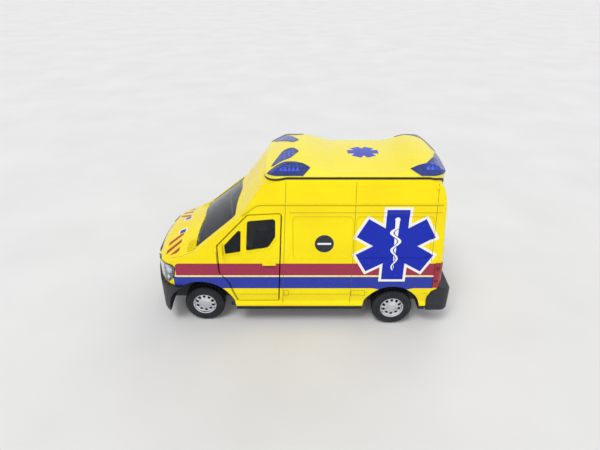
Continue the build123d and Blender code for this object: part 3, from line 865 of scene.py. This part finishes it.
class Skin:
    """The outer surface of a solid, for laying trim on it."""

    # a strip is cut off at its foot this far under the surface, in mm
    sunk = -0.1
    # its feet and its top's edges, as shares of its half width
    shares = (-1, -0.6, 0.6, 1)
    # cross-sections further apart than this many steps aren't joined
    gap_steps = 3

    def __init__(self, node: str) -> None:
        """Read the solid's surface.

        Args:
            node: the solid's name.
        """
        data = frame["nodes"][node].data
        points = [v.co / MM for v in data.vertices]
        self.tree = BVHTree.FromPolygons(points, [tuple(p.vertices) for p in data.polygons])

    def drop(self, start: Vector, towards: Vector) -> Union[tuple[Vector, Vector], None]:
        """Find where a straight line first meets the surface.

        Args:
            start: a point outside, in millimetres.
            towards: the direction in which it goes.

        Returns:
            The point and the surface's outward normal, or None.
        """
        point, normal, _, _ = self.tree.ray_cast(start, towards.normalized())
        if point is None:
            return None
        return point, (normal if normal.dot(towards) < 0 else -normal)

    def stud(self, mesh: Mesh, rows: Sequence[Row], face: Face, place: Row, side: int, steps: int) -> None:
        """Stand a small turned form on the surface.

        Args:
            mesh: the mesh it is added to.
            rows: its profile of (height over the surface, radius).
            face: the side of the van it is drawn for.
            place: where it is drawn.
            side: -1 on the left and 1 on the right.
            steps: how many facets go round.
        """
        hit = self.drop(face.point(place, side), face.inward(side))
        if hit is not None:
            turned(mesh, rows, *hit, steps)

    def bead(self, mesh: Mesh, strip: Strip) -> None:
        """Lay a strip on the surface.

        Args:
            mesh: the mesh it is added to.
            strip: the strip.
        """
        route = [strip.face.point(row, strip.side) for row in strip.rows]
        towards = strip.face.inward(strip.side)
        feet: list[Vector] = []
        for a, b in zip(route, route[1:]):
            count = max(1, round((b - a).length / strip.cut.step))
            feet += [a.lerp(b, k / count) for k in range(count)]
        feet.append(route[-1])
        levels = (self.sunk, strip.cut.proud, strip.cut.proud, self.sunk)
        last = None
        for i, foot in enumerate(feet):
            ahead = feet[min(i + 1, len(feet) - 1)] - feet[max(i - 1, 0)]
            across = ahead.cross(towards).normalized() * strip.cut.width / 2
            hits = [self.drop(foot + across * share, towards) for share in self.shares]
            if any(h is None for h in hits):
                last = None
                continue
            now = [mesh.verts.new(h[0] + h[1] * level) for h, level in zip(hits, levels)]
            limit = self.gap_steps * strip.cut.step
            if last is not None and max((a.co - b.co).length for a, b in zip(now, last)) < limit:
                bridge(mesh, last, now)
            else:
                mesh.faces.new(now)
            last = now
        if last is not None:
            mesh.faces.new(last)

    def trim(
        self, name: str, body: str, finish: Material, *strips: Strip, slot: str = "yellow_paint"
    ) -> None:
        """Lay strips on the surface as one piece.

        Args:
            name: the piece's name.
            body: the body it moves with.
            finish: its material.
            strips: the strips, in order.
            slot: the record's material slot; not used.
        """
        mesh = bmesh.new()
        for strip in strips:
            self.bead(mesh, strip)
        piece(name, body, finish, mesh, ROUNDED if strips[0].cut.proud > SHADE else PLAIN)


# --- wheels ---


@dataclass(frozen=True)
class Wheel:
    """One wheel: a vinyl tyre with cut tread and a bright dished hub cap.

    Profiles are rows of depth behind the outer face and a radius; the wall's radius counts from the
    rim outwards, and the tread's from the tyre's edge inwards.
    """

    end: str
    hand: str
    side: int
    axle_x: float
    face_y: float
    radius: float = 9.6
    clearance: float = 0.02
    width: float = 7.0
    rim_r: float = 5.7
    wall: Rows = ((0.55, 0.02), (0.15, 0.55), (0.02, 1.5), (0.22, 1.75), (0.04, 2.0))
    tread: Rows = (
        (0.12, 1.0), (0.55, 0.45), (1.0, 0.0), (2.5, 0.0), (2.7, 0.45), (3.1, 0.45), (3.3, 0.0),
        (3.9, 0.0), (4.1, 0.45), (4.5, 0.45), (4.7, 0.0), (6.1, 0.0), (6.6, 0.5), (6.98, 1.4),
    )
    tread_blocks: int = 36
    tread_depth: float = 0.45
    # the cap's openings: how many, the facets from one to the next, and which facets and rows they take
    openings: int = 10
    facets_per_opening: int = 8
    opening_facets: tuple[int, int] = (2, 5)
    opening_rows: tuple[int, int] = (5, 6)
    dish: Rows = (
        (0.55, 5.68), (0.12, 5.58), (0.1, 5.2), (0.62, 4.98), (1.15, 4.7), (1.32, 4.35), (1.2, 3.85),
        (1.0, 3.35), (0.85, 2.75), (0.8, 2.35), (0.55, 2.05), (0.42, 1.5), (0.36, 0.9), (0.34, 0.35),
    )
    plate: float = 0.45
    drum_facets: int = 48
    drum: Rows = (
        (1.0, 5.68), (6.38, 5.68), (6.38, 4.9), (2.9, 4.9), (2.9, 2.2),
        (6.38, 2.2), (6.38, 1.02), (2.3, 1.02), (2.3, 4.6), (1.7, 5.2),
    )

    def _at(self, depth: float, r: float, angle: float) -> Vector:
        """A point of the wheel from its depth behind the outer face, radius and angle."""
        centre = Vector((self.axle_x, self.side * self.face_y, self.radius))
        return centre + Vector((r * math.cos(angle), -self.side * depth, r * math.sin(angle)))

    def tyre(self, finish: Material) -> None:
        """Build the tyre, its tread cut as staggered blocks and its walls ringed.

        Args:
            finish: the vinyl.
        """
        outer = self.radius - self.clearance
        low = outer - self.tread_depth
        rows = [(depth, self.rim_r + over) for depth, over in self.wall]
        rows += [(depth, outer - under) for depth, under in self.tread]
        rows.append((self.tread[-1][0], self.rim_r + self.wall[0][1]))
        mesh = bmesh.new()
        rings = []
        for step, angle in enumerate(turns(self.tread_blocks * 4)):
            ring = []
            for depth, r in rows:
                shift = 2 if depth > self.width / 2 else 0
                is_cut = r == outer and (step + shift) % 4 == 0
                ring.append(mesh.verts.new(self._at(depth, low if is_cut else r, angle)))
            rings.append(ring)
        for ring, after in zip(rings, rings[1:] + rings[:1]):
            bridge(mesh, ring, after)
        name = f"treaded_tyre_{self.end}_{self.hand}"
        made = piece(name, f"{self.end}_wheels", finish, mesh, 35)
        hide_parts(f"tyre_{self.end}_{self.hand}")

    def hub_cap(self, finish: Material) -> None:
        """Build the dished cap as one plate with a ring of openings, a bright lip and a domed hub.

        Args:
            finish: the plating.
        """
        per = self.facets_per_opening
        steps = self.openings * per
        mesh = bmesh.new()
        rings = [[mesh.verts.new(self._at(depth, r, t)) for t in turns(steps, 0.5)] for depth, r in self.dish]
        tip = mesh.verts.new(self._at(self.dish[-1][0], 0, 0))
        for row, (ring, inner) in enumerate(zip(rings, rings[1:])):
            is_cut = self.opening_rows[0] <= row <= self.opening_rows[1]
            for step in range(steps):
                after = (step + 1) % steps
                if not (is_cut and self.opening_facets[0] <= step % per <= self.opening_facets[1]):
                    mesh.faces.new((ring[step], ring[after], inner[after], inner[step]))
        bridge(mesh, rings[-1], [tip])
        cap = piece(f"hub_cap_{self.end}_{self.hand}", f"{self.end}_wheels", finish, mesh, 180)
        plate = cap.modifiers.new("plate", "SOLIDIFY")
        plate.thickness = self.plate * MM
        plate.offset = -1 if self.side < 0 else 1
        plate.use_even_offset = True
        soft = cap.modifiers.new("soft", "SUBSURF")
        soft.levels = 1
        soft.render_levels = 1
        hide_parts(f"rim_{self.end}_{self.hand}")

    def barrel(self, finish: Material) -> None:
        """Build the wheel's dark barrel behind the cap, with its hub tube on the axle.

        Args:
            finish: the plastic.
        """
        mesh = bmesh.new()
        turned(mesh, self.drum, self._at(0, 0, 0), Vector((0, -self.side, 0)), self.drum_facets, is_ring=True)
        piece(f"wheel_barrel_{self.end}_{self.hand}", f"{self.end}_wheels", finish, mesh)

    def build(self, finishes: Finishes) -> None:
        """Build the whole wheel.

        Args:
            finishes: the van's materials.
        """
        self.tyre(finishes.tyre)
        self.hub_cap(finishes.chrome)
        self.barrel(finishes.black)


# --- lines and trim on the body ---


@dataclass(frozen=True)
class FlankTrim:
    """Painted shade along the grooves, the drip rail, painted shade in the door's shut line and a small cast
    lug on each of the van's flanks.
    """

    groove: Cut = Cut(0.26)
    uprights: tuple[Rows, ...] = (
        ((-8.6, 12.8), (-6.2, 73.2)),
        ((23.2, 12.8), (23.2, 73.2)),
        ((58.4, 37.2), (57.6, 73.2)),
    )
    bead: Cut = Cut(0.8, 0.28)
    rail: Rows = ((60.2, 64.2), (-17.4, 64.2), (-19.6, 63.6), (-25.6, 59.4))
    rail_shade: Rows = ((60.2, 63.5), (-17.2, 63.5), (-19.2, 62.9), (-25.0, 58.8))
    level_line: Rows = ((60.4, 60.3), (-5.0, 60.3))
    crease: Rows = ((-8.4, 18.9), (27.4, 18.9))
    rear_crease: Rows = ((57.2, 19.4), (59.0, 19.4))
    hatch: Rows = ((23.4, 17.7), (29.8, 17.7), (29.8, 20.9), (23.4, 20.9), (23.4, 17.7))
    catch: Rows = ((-7.8, 17.7), (-5.9, 17.7), (-5.9, 21.1), (-7.8, 21.1), (-7.8, 17.7))
    # the door's gap gets a dark strip of painted shade
    shut: Cut = Cut(0.36, step=0.4)
    gap_shadow_line: Rows = ((-37.6, 42.0), (-37.6, 32.0), (-37.3, 30.7), (-34.45, 26.9), (-33.35, 25.0), (-29.9, 14.6))
    lug: Row = (57.2, 71.0)
    lug_rows: Rows = ((-0.2, 0.9), (0.4, 0.85), (0.65, 0.6), (0.75, 0))
    lug_facets: int = 20

    def build(self, finishes: Finishes) -> None:
        """Lay the trim on both flanks.

        Args:
            finishes: the van's materials.
        """
        skin = Skin("body_shell")
        level = (self.rail_shade, self.level_line, self.crease, self.rear_crease)
        routes = (*self.uprights, *level, self.hatch, self.catch)
        for hand, side in SIDES:
            grooves = [Strip(Face.FLANK, rows, side, self.groove) for rows in routes]
            rail = Strip(Face.FLANK, self.rail, side, self.bead)
            gap_shadow_line = Strip(Face.FLANK, self.gap_shadow_line, side, self.shut)
            # the grooves and the door's gap are painted shade laid as dark strips; the rail and the lug are
            # raised enamel
            skin.trim(f"panel_lines_{hand}", "van", finishes.groove, *grooves)
            skin.trim(f"drip_rail_{hand}", "van", finishes.enamel, rail)
            skin.trim(f"door_gap_shade_{hand}", "van", finishes.gap, gap_shadow_line)
            mesh = bmesh.new()
            skin.stud(mesh, self.lug_rows, Face.FLANK, self.lug, side, self.lug_facets)
            piece(f"roof_lug_{hand}", "van", finishes.enamel, mesh, ROUNDED)


@dataclass(frozen=True)
class DoorTrim:
    """Painted shadow under each front door's handle, painted shade along the crease low on the door, and the
    window sills.
    """

    # painted shadow under the handle, laid as a dark strip
    shadow_under_handle: Rows = ((-16.9, 34.2), (-11.7, 34.2))
    shadow_cut: Cut = Cut(0.7, step=0.4)
    crease: Rows = ((-30.0, 18.9), (-10.6, 18.9))
    groove: Cut = Cut(0.26)
    sills: tuple[Rows, ...] = (
        ((-33.5, 40.0), (-26.9, 41.2)),
        ((-24.3, 41.7), (-14.6, 43.3), (-13.6, 43.9), (-10.8, 48.4)),
    )
    ledge: Cut = Cut(0.75, 0.28, 0.5)

    def build(self, finishes: Finishes) -> None:
        """Lay the trim on both doors.

        Args:
            finishes: the van's materials.
        """
        for hand, side in SIDES:
            door = f"door_{hand}"
            skin = Skin(door)
            shadow_under_handle = Strip(Face.FLANK, self.shadow_under_handle, side, self.shadow_cut)
            crease = Strip(Face.FLANK, self.crease, side, self.groove)
            sills = [Strip(Face.FLANK, sill, side, self.ledge) for sill in self.sills]
            # the handle's shadow and the crease's shade are painted, laid as dark strips
            skin.trim(f"handle_shadow_{hand}", door, finishes.gap, shadow_under_handle)
            skin.trim(f"door_crease_{hand}", door, finishes.groove, crease)
            skin.trim(f"window_sills_{hand}", door, finishes.enamel, *sills)


@dataclass(frozen=True)
class BonnetTrim:
    """Air vents at the bonnet's rear corners with painted shade between their ribs, and painted shade along
    its shut line.
    """

    rib_count: int = 6
    rib_pitch: float = 1.15
    rib_from_y: float = 18.2
    rib_x: Row = (-51.2, -47.2)
    rib: Cut = Cut(0.6, 0.3, 0.5)
    # painted shade between the vent ribs, laid as dark strips
    dip: Cut = Cut(0.35, step=0.5)
    shut_line: Rows = ((-45.4, 24.6), (-49.0, 25.9), (-54.0, 26.2), (-59.0, 24.8))
    shut: Cut = Cut(0.2, step=0.4)

    def build(self, finishes: Finishes) -> None:
        """Lay the trim on both sides of the bonnet.

        Args:
            finishes: the van's materials.
        """
        skin = Skin("body_shell")
        rows = [self.rib_from_y + k * self.rib_pitch for k in range(self.rib_count)]
        for hand, side in SIDES:
            ribs, rib_shadows = (
                [Strip(Face.TOP, [(x, y + beside) for x in self.rib_x], side, cut) for y in rows]
                for beside, cut in ((0, self.rib), (self.rib_pitch / 2, self.dip))
            )
            skin.trim(f"vent_ribs_{hand}", "van", finishes.enamel, *ribs)
            shut = Strip(Face.TOP, self.shut_line, side, self.shut)
            skin.trim(f"bonnet_lines_{hand}", "van", finishes.groove, *rib_shadows, shut)


# --- lamps ---


@dataclass(frozen=True)
class LampCorner:
    """A front corner: its clear lens, the foot that distances run from, the way round it and the way in."""

    lens: Skin
    foot: Vector
    across: Vector
    inward: Vector
    start: float = 30.0

    def front(self, u: float, v: float) -> Vector:
        """Find a point of the lens.

        Args:
            u: the distance round the corner.
            v: the height.

        Returns:
            The point in millimetres.
        """
        flat = self.foot + self.across * u + Vector((0, 0, v))
        hit = self.lens.drop(flat - self.inward * self.start, self.inward)
        return hit[0] if hit else flat


@dataclass(frozen=True)
class Headlamp:
    """The silvered bowl behind each clear front lens, with its round reflectors, bulbs and a dark bezel."""

    outline: Rows = ((-7.0, 34.6), (7.7, 34.8), (6.4, 28.6), (2.4, 24.8), (-5.0, 27.6))
    origin: Row = (-62.0, 22.0)
    middle: Row = (0.6, 31.2)
    dishes: tuple[Point, ...] = ((-3.0, 31.3, 2.5), (2.6, 31.6, 2.6), (2.4, 27.2, 1.3))
    behind_lens: float = 0.75
    bowl_depth: float = 0.9
    dish_depth: float = 1.5
    # a raised rim runs round each dish, out to this share of its radius
    rim_share: float = 1.12
    rim_height: float = 0.25
    # a bulb's radius as a share of its dish's, and its profile in shares of its own radius
    bulb_share: float = 0.24
    bulb_foot: float = -0.05
    bulb: Rows = ((0.45, 1.0), (1.1, 0.75), (1.4, 0))
    bulb_facets: int = 20
    shell: float = 0.25
    spokes: int = 120
    rings: int = 26

    def _reach(self, angle: float) -> float:
        """How far the outline lies from the bowl's middle at an angle.

        Args:
            angle: the direction, in radians.

        Returns:
            The distance in millimetres.
        """
        du, dv = math.cos(angle), math.sin(angle)
        nearly = 1e-6
        best = 0.0
        for (u0, v0), (u1, v1) in zip(self.outline, self.outline[1:] + self.outline[:1]):
            eu, ev = u1 - u0, v1 - v0
            wu, wv = u0 - self.middle[0], v0 - self.middle[1]
            cross = du * ev - dv * eu
            if abs(cross) < nearly:
                continue
            along = (wu * ev - wv * eu) / cross
            share = (wu * dv - wv * du) / cross
            if along > 0 and -nearly <= share <= 1 + nearly:
                best = max(best, along)
        return best

    def _point(self, corner: LampCorner, u: float, v: float, share: float) -> Vector:
        """A point of the bowl, set back from the lens.

        Args:
            corner: the lamp's corner.
            u: the distance round the corner.
            v: the height.
            share: 0 at the bowl's middle and 1 at its edge.

        Returns:
            The point in millimetres.
        """
        depth = self.behind_lens + self.bowl_depth * (1 - share**6)
        for du, dv, r in self.dishes:
            far = math.hypot(u - du, v - dv) / r
            if far < 1:
                depth += self.dish_depth * (1 - far * far) * min(1.0, r / 2)
            elif far < self.rim_share:
                depth -= self.rim_height
        return corner.front(u, v) + corner.inward * depth

    def _bowl(self, corner: LampCorner, hand: str, finishes: Finishes) -> None:
        """Build the bowl, silvered in its round reflectors and grey round them.

        Args:
            corner: the lamp's corner.
            hand: left or right.
            finishes: the van's materials.
        """
        mesh = bmesh.new()
        rings = [[mesh.verts.new(self._point(corner, *self.middle, 0.0))]]
        for ring in range(1, self.rings + 1):
            share = ring / self.rings
            row = []
            for angle in turns(self.spokes):
                reach = self._reach(angle) * share
                u = self.middle[0] + reach * math.cos(angle)
                v = self.middle[1] + reach * math.sin(angle)
                row.append(mesh.verts.new(self._point(corner, u, v, share)))
            rings.append(row)
        for low, high in zip(rings, rings[1:]):
            bridge(mesh, low, high)
        bowl = piece(f"lamp_bowl_{hand}", "van", finishes.bezel, mesh, 50)
        bowl.data.materials.append(finishes.silver)
        for face in bowl.data.polygons:
            middle = face.center / MM
            u, v = (middle - corner.foot).dot(corner.across), middle.z
            is_dish = any(math.hypot(u - du, v - dv) < r for du, dv, r in self.dishes)
            face.material_index = 1 if is_dish else 0
        shell = bowl.modifiers.new("shell", "SOLIDIFY")
        shell.thickness = self.shell * MM
        shell.offset = 0
        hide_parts(f"headlamp_bowl_{hand}")

    def build(self, finishes: Finishes) -> None:
        """Build both bowls, with a small domed bulb in each reflector.

        Args:
            finishes: the van's materials.
        """
        turn = math.sqrt(0.5)
        for hand, side in SIDES:
            foot = Vector((self.origin[0], side * self.origin[1], 0))
            across, inward = Vector((turn, side * turn, 0)), Vector((turn, -side * turn, 0))
            corner = LampCorner(Skin(f"headlamp_{hand}"), foot, across, inward)
            self._bowl(corner, hand, finishes)
            mesh = bmesh.new()
            for u, v, r in self.dishes:
                size = self.bulb_share * r
                rows = [(self.bulb_foot, size), *((depth * size, wide * size) for depth, wide in self.bulb)]
                turned(mesh, rows, self._point(corner, u, v, 0.5), -inward, self.bulb_facets)
            piece(f"lamp_bulbs_{hand}", "van", finishes.clear, mesh, ROUNDED)


@dataclass(frozen=True)
class TailLamp:
    """Round lenses standing on each red tail lamp, two on the flank and two on the back."""

    flank_x: float = 61.9
    heights: Row = (33.4, 26.6)
    back_y: float = 25.4
    rows: Rows = ((-0.1, 0.9), (0.12, 0.9), (0.2, 0.78), (0.1, 0.65), (0.22, 0.45), (0.26, 0))
    facets: int = 24

    def build(self, finishes: Finishes) -> None:
        """Build the round lenses of both lamps.

        Args:
            finishes: the van's materials.
        """
        for hand, side in SIDES:
            skin = Skin(f"tail_lamp_{hand}")
            mesh = bmesh.new()
            for z in self.heights:
                skin.stud(mesh, self.rows, Face.FLANK, (self.flank_x, z), side, self.facets)
                skin.stud(mesh, self.rows, Face.BACK, (self.back_y, z), side, self.facets)
            piece(f"round_lenses_{hand}", "van", finishes.dark_red, mesh, 50)


@dataclass(frozen=True)
class BeaconReflector:
    """Silvered prisms under each blue lens, which break the lamp's light into facets."""

    node: str
    span_x: Row
    span_y: Row
    pitch: float = 1.7
    gap: float = 0.05
    base_depth: float = 1.05
    tip_depth: float = 0.4
    # a prism stands only where the lens faces up this far and rises less than this, in mm
    least_level: float = 0.35
    most_slope: float = 2.0

    def build(self, finishes: Finishes) -> None:
        """Set the prisms under the lens and its twin.

        Args:
            finishes: the van's materials.
        """
        skin = Skin(self.node)
        down = Face.TOP.inward(1)
        mesh = bmesh.new()
        columns, rows = (int((high - low) / self.pitch) for low, high in (self.span_x, self.span_y))
        half = self.pitch / 2 - self.gap
        corners = ((-half, -half), (half, -half), (half, half), (-half, half), (0, 0))
        for column, row, side in product(range(columns), range(rows), (-1, 1)):
            x = self.span_x[0] + (column + 0.5) * self.pitch
            y = self.span_y[0] + (row + 0.5) * self.pitch
            hits = [skin.drop(Face.TOP.point((x + u, y + v), side), down) for u, v in corners]
            if any(h is None or h[1].z < self.least_level for h in hits):
                continue
            heights = [h[0].z for h in hits]
            if max(heights) - min(heights) > self.most_slope:
                continue
            base = [mesh.verts.new(h[0] + down * self.base_depth) for h in hits[:4]]
            bridge(mesh, base, [mesh.verts.new(hits[4][0] + down * self.tip_depth)])
            mesh.faces.new(base)
        piece(f"{self.node}_prisms", "van", finishes.silver, mesh, 0)


# --- back and underside ---


@dataclass(frozen=True)
class RearDoorTrim:
    """Handle, hinges and painted shade along the grooves of the two back doors."""

    window_line: Rows = ((20.8, 42.6), (19.6, 61.9), (2.7, 61.9), (2.7, 42.6), (20.8, 42.6))
    plate_line: Rows = ((20.6, 27.0), (20.6, 40.8), (3.4, 40.8), (3.4, 27.0), (20.6, 27.0))
    groove: Cut = Cut(0.22, step=0.6)
    hinge_heights: tuple[float, ...] = (29.0, 45.0, 61.0)
    hinge_y: float = 21.6
    hinge_half: float = 1.3
    hinge: Cut = Cut(1.5, 0.35, 0.4)
    handle_y: float = 2.2
    handle_span: Row = (34.4, 40.2)
    handle: Cut = Cut(1.4, 0.45, 0.4)

    def build(self, finishes: Finishes) -> None:
        """Lay the trim on both doors.

        Args:
            finishes: the van's materials.
        """
        y, half = self.hinge_y, self.hinge_half
        hinge_ends = [((y, z - half), (y, z + half)) for z in self.hinge_heights]
        handle_ends = [(self.handle_y, z) for z in self.handle_span]
        frames = (self.window_line, self.plate_line)
        for hand, side in SIDES:
            node = f"rear_door_{hand}"
            skin = Skin(node)
            lines = [Strip(Face.BACK, line, side, self.groove) for line in frames]
            hinges = [Strip(Face.BACK, ends, side, self.hinge) for ends in hinge_ends]
            handle = Strip(Face.BACK, handle_ends, side, self.handle)
            # the grooves are painted shade laid as dark strips
            skin.trim(f"back_door_lines_{hand}", node, finishes.groove, *lines)
            skin.trim(f"back_door_hinges_{hand}", node, finishes.black, *hinges, slot="black_plastic")
            skin.trim(f"back_door_handle_{hand}", node, finishes.black, handle, slot="black_plastic")


@dataclass(frozen=True)
class PlateRecess:
    """Bare number-plate panel under the back doors: a line of painted shade round a plain field."""

    half_width: float = 7.0
    span_z: Row = (12.2, 15.8)
    groove: Cut = Cut(0.5, -0.01, 0.4)

    def build(self, finishes: Finishes) -> None:
        """Lay the line on the rear bumper.

        Args:
            finishes: the van's materials.
        """
        (low, high), w = self.span_z, self.half_width
        corners = ((-w, low), (w, low), (w, high), (-w, high), (-w, low))
        line = Strip(Face.BACK, corners, 1, self.groove)
        # painted shade in a dark line round the plate's field
        Skin("rear_bumper").trim("plate_rim_shade", "van", finishes.gap, line, slot="black_plastic")


@dataclass(frozen=True)
class FloorEdging:
    """Soft black edging that closes the joint between base and body along each side of the floor."""

    outline: Rows = (
        (25.84, 11.42), (24.94, 11.42), (24.94, 12.6), (25.1, 12.84),
        (25.4, 12.94), (25.7, 12.82), (25.84, 12.5),
    )
    reach: Row = (-33.0, 30.0)

    def build(self, finishes: Finishes) -> None:
        """Lay it along both sides.

        Args:
            finishes: the van's materials.
        """
        for hand, side in SIDES:
            mesh = bmesh.new()
            ends = [[mesh.verts.new((x, side * y, z)) for y, z in self.outline] for x in self.reach]
            bridge(mesh, *ends)
            for end in ends:
                mesh.faces.new(end)
            piece(f"floor_edging_{hand}", "van", finishes.black, mesh)


@dataclass(frozen=True)
class Underside:
    """Crosshead screws, the battery door's screw, and painted shade for the speaker's holes under the base.
    """

    post_screws: tuple[Point, ...] = ((-26.0, 8.1, 1.05), (24.0, 8.1, 1.05))
    cover_screw: Point = (12.4, 8.0, 1.3)
    screw_rings: tuple[float, ...] = (1.0, 0.97, 0.85, 0.7, 0.6, 0.5, 0.4, 0.3, 0.2, 0.1)
    screw_facets: int = 48
    dome: Row = (0.28, 0.12)
    cross_reach: float = 0.65
    cross_half: float = 0.16
    cross_depth: float = 0.4
    cover_z: float = 8.0
    speaker_x: float = -4.0
    hole_pitch: float = 2.2
    hole: Rows = ((-0.05, 0.6), (0.03, 0.56), (0.03, 0))
    hole_facets: int = 16
    rim: Rows = ((-0.05, 0.85), (0.14, 0.78), (0.14, 0.6), (-0.05, 0.6))
    rim_facets: int = 20
    longest_row: int = 5

    def screw(self, mesh: Mesh, x: float, z: float, radius: float) -> None:
        """Add a crosshead screw that faces down on the van's middle line.

        Args:
            mesh: the mesh it is added to.
            x: its place along the van.
            z: the height of the face it stands on.
            radius: the head's radius.
        """
        rings = []
        for share in self.screw_rings:
            proud = 0.0 if share == 1.0 else self.dome[0] - self.dome[1] * share
            ring = []
            for angle in turns(self.screw_facets):
                u, v = share * radius * math.cos(angle), share * radius * math.sin(angle)
                is_cross = share < self.cross_reach and min(abs(u), abs(v)) < self.cross_half * radius
                ring.append(mesh.verts.new((x + u, v, z - (proud - self.cross_depth if is_cross else proud))))
            rings.append(ring)
        for low, high in zip(rings, rings[1:]):
            bridge(mesh, low, high)
        mesh.faces.new(rings[-1])

    def build(self, finishes: Finishes) -> None:
        """Build the screws, and dark discs of painted shade for the speaker's holes.

        Args:
            finishes: the van's materials.
        """
        down = Face.TOP.inward(1)
        screws, holes, rims = bmesh.new(), bmesh.new(), bmesh.new()
        for place in (*self.post_screws, self.cover_screw):
            self.screw(screws, *place)
        piece("base_screws", "van", finishes.wire, screws, 30)
        # the holes stand in a hexagon, each row shorter than the last away from the middle one
        half = self.longest_row // 2
        for row in range(-half, half + 1):
            count = self.longest_row - abs(row)
            for k in range(count):
                x = self.speaker_x + row * self.hole_pitch * math.sqrt(0.75)
                middle = Vector((x, (k - (count - 1) / 2) * self.hole_pitch, self.cover_z))
                turned(holes, self.hole, middle, down, self.hole_facets)
                turned(rims, self.rim, middle, down, self.rim_facets, is_ring=True)
        # each hole is a dark disc of painted shade, for the dark inside that shows through it
        piece("speaker_hole_shade", "van", finishes.gap, holes)
        piece("speaker_rims", "van", finishes.black, rims)


# --- stage ---


@dataclass(frozen=True)
class SunLamp:
    """A wide soft lamp: its name, where it shines from, how wide it looks and how strong it is."""

    name: str
    place: Point
    spread_deg: float
    strength: float

    def hang(self) -> None:
        """Light the van with it; glass and metal mirror the room, not the lamp."""
        light = bpy.data.lights.new(self.name, "SUN")
        light.angle = math.radians(self.spread_deg)
        light.energy = self.strength
        lamp = bpy.data.objects.new(self.name, light)
        bpy.context.scene.collection.objects.link(lamp)
        lamp.location = self.place
        lamp.visible_glossy = False
        lamp.rotation_euler = (-lamp.location).to_track_quat("-Z", "Y").to_euler()


@dataclass(frozen=True)
class Studio:
    """Pale floor, even soft light and the camera."""

    paper: str = "#E9E8E6"
    light_paper: str = "#EFEEEC"
    floor_half: float = 6000.0
    sky: str = "#F4F4F5"
    fill: str = "#F4F6FA"
    fill_strength: float = 0.55
    lamps: tuple[SunLamp, ...] = (
        SunLamp("key_lamp", (-0.3, -0.5, 1.0), 25, 1.25),
        SunLamp("front_lamp", (0.2, -1.0, 0.35), 40, 0.55),
        SunLamp("back_lamp", (0.4, 0.9, 0.6), 40, 0.45),
    )
    eye: Point = (-0.4, -211.9, 152.7)
    pitch_deg: float = 32.77
    lens: float = 29.15
    sensor: float = 36.0
    shift_y: float = 0.07

    def build(self) -> None:
        """Set the whole stage."""
        self._floor()
        self._world()
        for lamp in self.lamps:
            lamp.hang()
        self._camera()

    def _floor(self) -> None:
        """Lay the floor, which keeps the van's shadow."""
        mesh = bmesh.new()
        bmesh.ops.create_grid(mesh, x_segments=1, y_segments=1, size=self.floor_half)
        bmesh.ops.scale(mesh, vec=(MM, MM, MM), verts=mesh.verts)
        data = bpy.data.meshes.new("floor")
        mesh.to_mesh(data)
        mesh.free()
        made = bpy.data.objects.new("floor", data)
        bpy.context.scene.collection.objects.link(made)
        graph = Graph(bpy.data.materials.new("matt_paper_floor"))
        # matt paper gives no mirror image, only the soft shadow
        feeds = {"Base Color": graph.mottled(60.0, self.paper, self.light_paper), "Roughness": 0.9}
        data.materials.append(graph.closed(feeds))

    def _world(self) -> None:
        """Light the room evenly and show it pale wherever the eye, a mirror or glass looks at it."""
        world = bpy.data.worlds.new("pale_room")
        bpy.context.scene.world = world
        graph = Graph(world)
        path = graph.add("ShaderNodeLightPath").node.outputs
        seen = graph.add(MATH, (path["Is Camera Ray"], path["Is Glossy Ray"]), operation="MAXIMUM")
        seen = graph.add(MATH, (seen, path["Is Transmission Ray"]), operation="MAXIMUM")
        fill = graph.add("ShaderNodeBackground", (linear(self.fill), self.fill_strength))
        pale = graph.add("ShaderNodeBackground", (linear(self.sky), 1.0))
        room = graph.add("ShaderNodeMixShader", (seen, fill, pale))
        graph.add("ShaderNodeOutputWorld", (room,))

    def _camera(self) -> None:
        """Place the camera beside and above the van."""
        data = bpy.data.cameras.new("camera")
        data.lens = self.lens
        data.sensor_width = self.sensor
        data.shift_y = self.shift_y
        data.clip_start = 0.01
        camera = bpy.data.objects.new("camera", data)
        bpy.context.scene.collection.objects.link(camera)
        camera.location = Vector(self.eye) * MM
        camera.rotation_euler = (math.radians(90 - self.pitch_deg), 0, 0)
        bpy.context.scene.camera = camera


def main() -> None:
    """Build every piece in order."""
    logging.basicConfig(level=logging.INFO, format="%(name)s %(message)s")
    bpy.context.scene.view_settings.view_transform = "Standard"
    Studio().build()
    finishes = Finishes()
    finishes.dress(frame["record"])
    for end, axle_x, face_y in (("front", -46.6, 23.2), ("rear", 43.7, 26.2)):
        for hand, side in SIDES:
            Wheel(end, hand, side, axle_x, face_y).build(finishes)
    for trim in (
        FlankTrim(),
        DoorTrim(),
        BonnetTrim(),
        Headlamp(),
        TailLamp(),
        RearDoorTrim(),
        PlateRecess(),
        FloorEdging(),
        Underside(),
        BeaconReflector("beacons_side", (-14.2, 4.6), (17.8, 23.0)),
        BeaconReflector("beacons_front", (-12.8, -0.8), (3.4, 17.0)),
        BeaconReflector("beacons_rear", (43.4, 62.0), (2.2, 23.0)),
    ):
        trim.build(finishes)


if __name__ == "__main__":
    main()
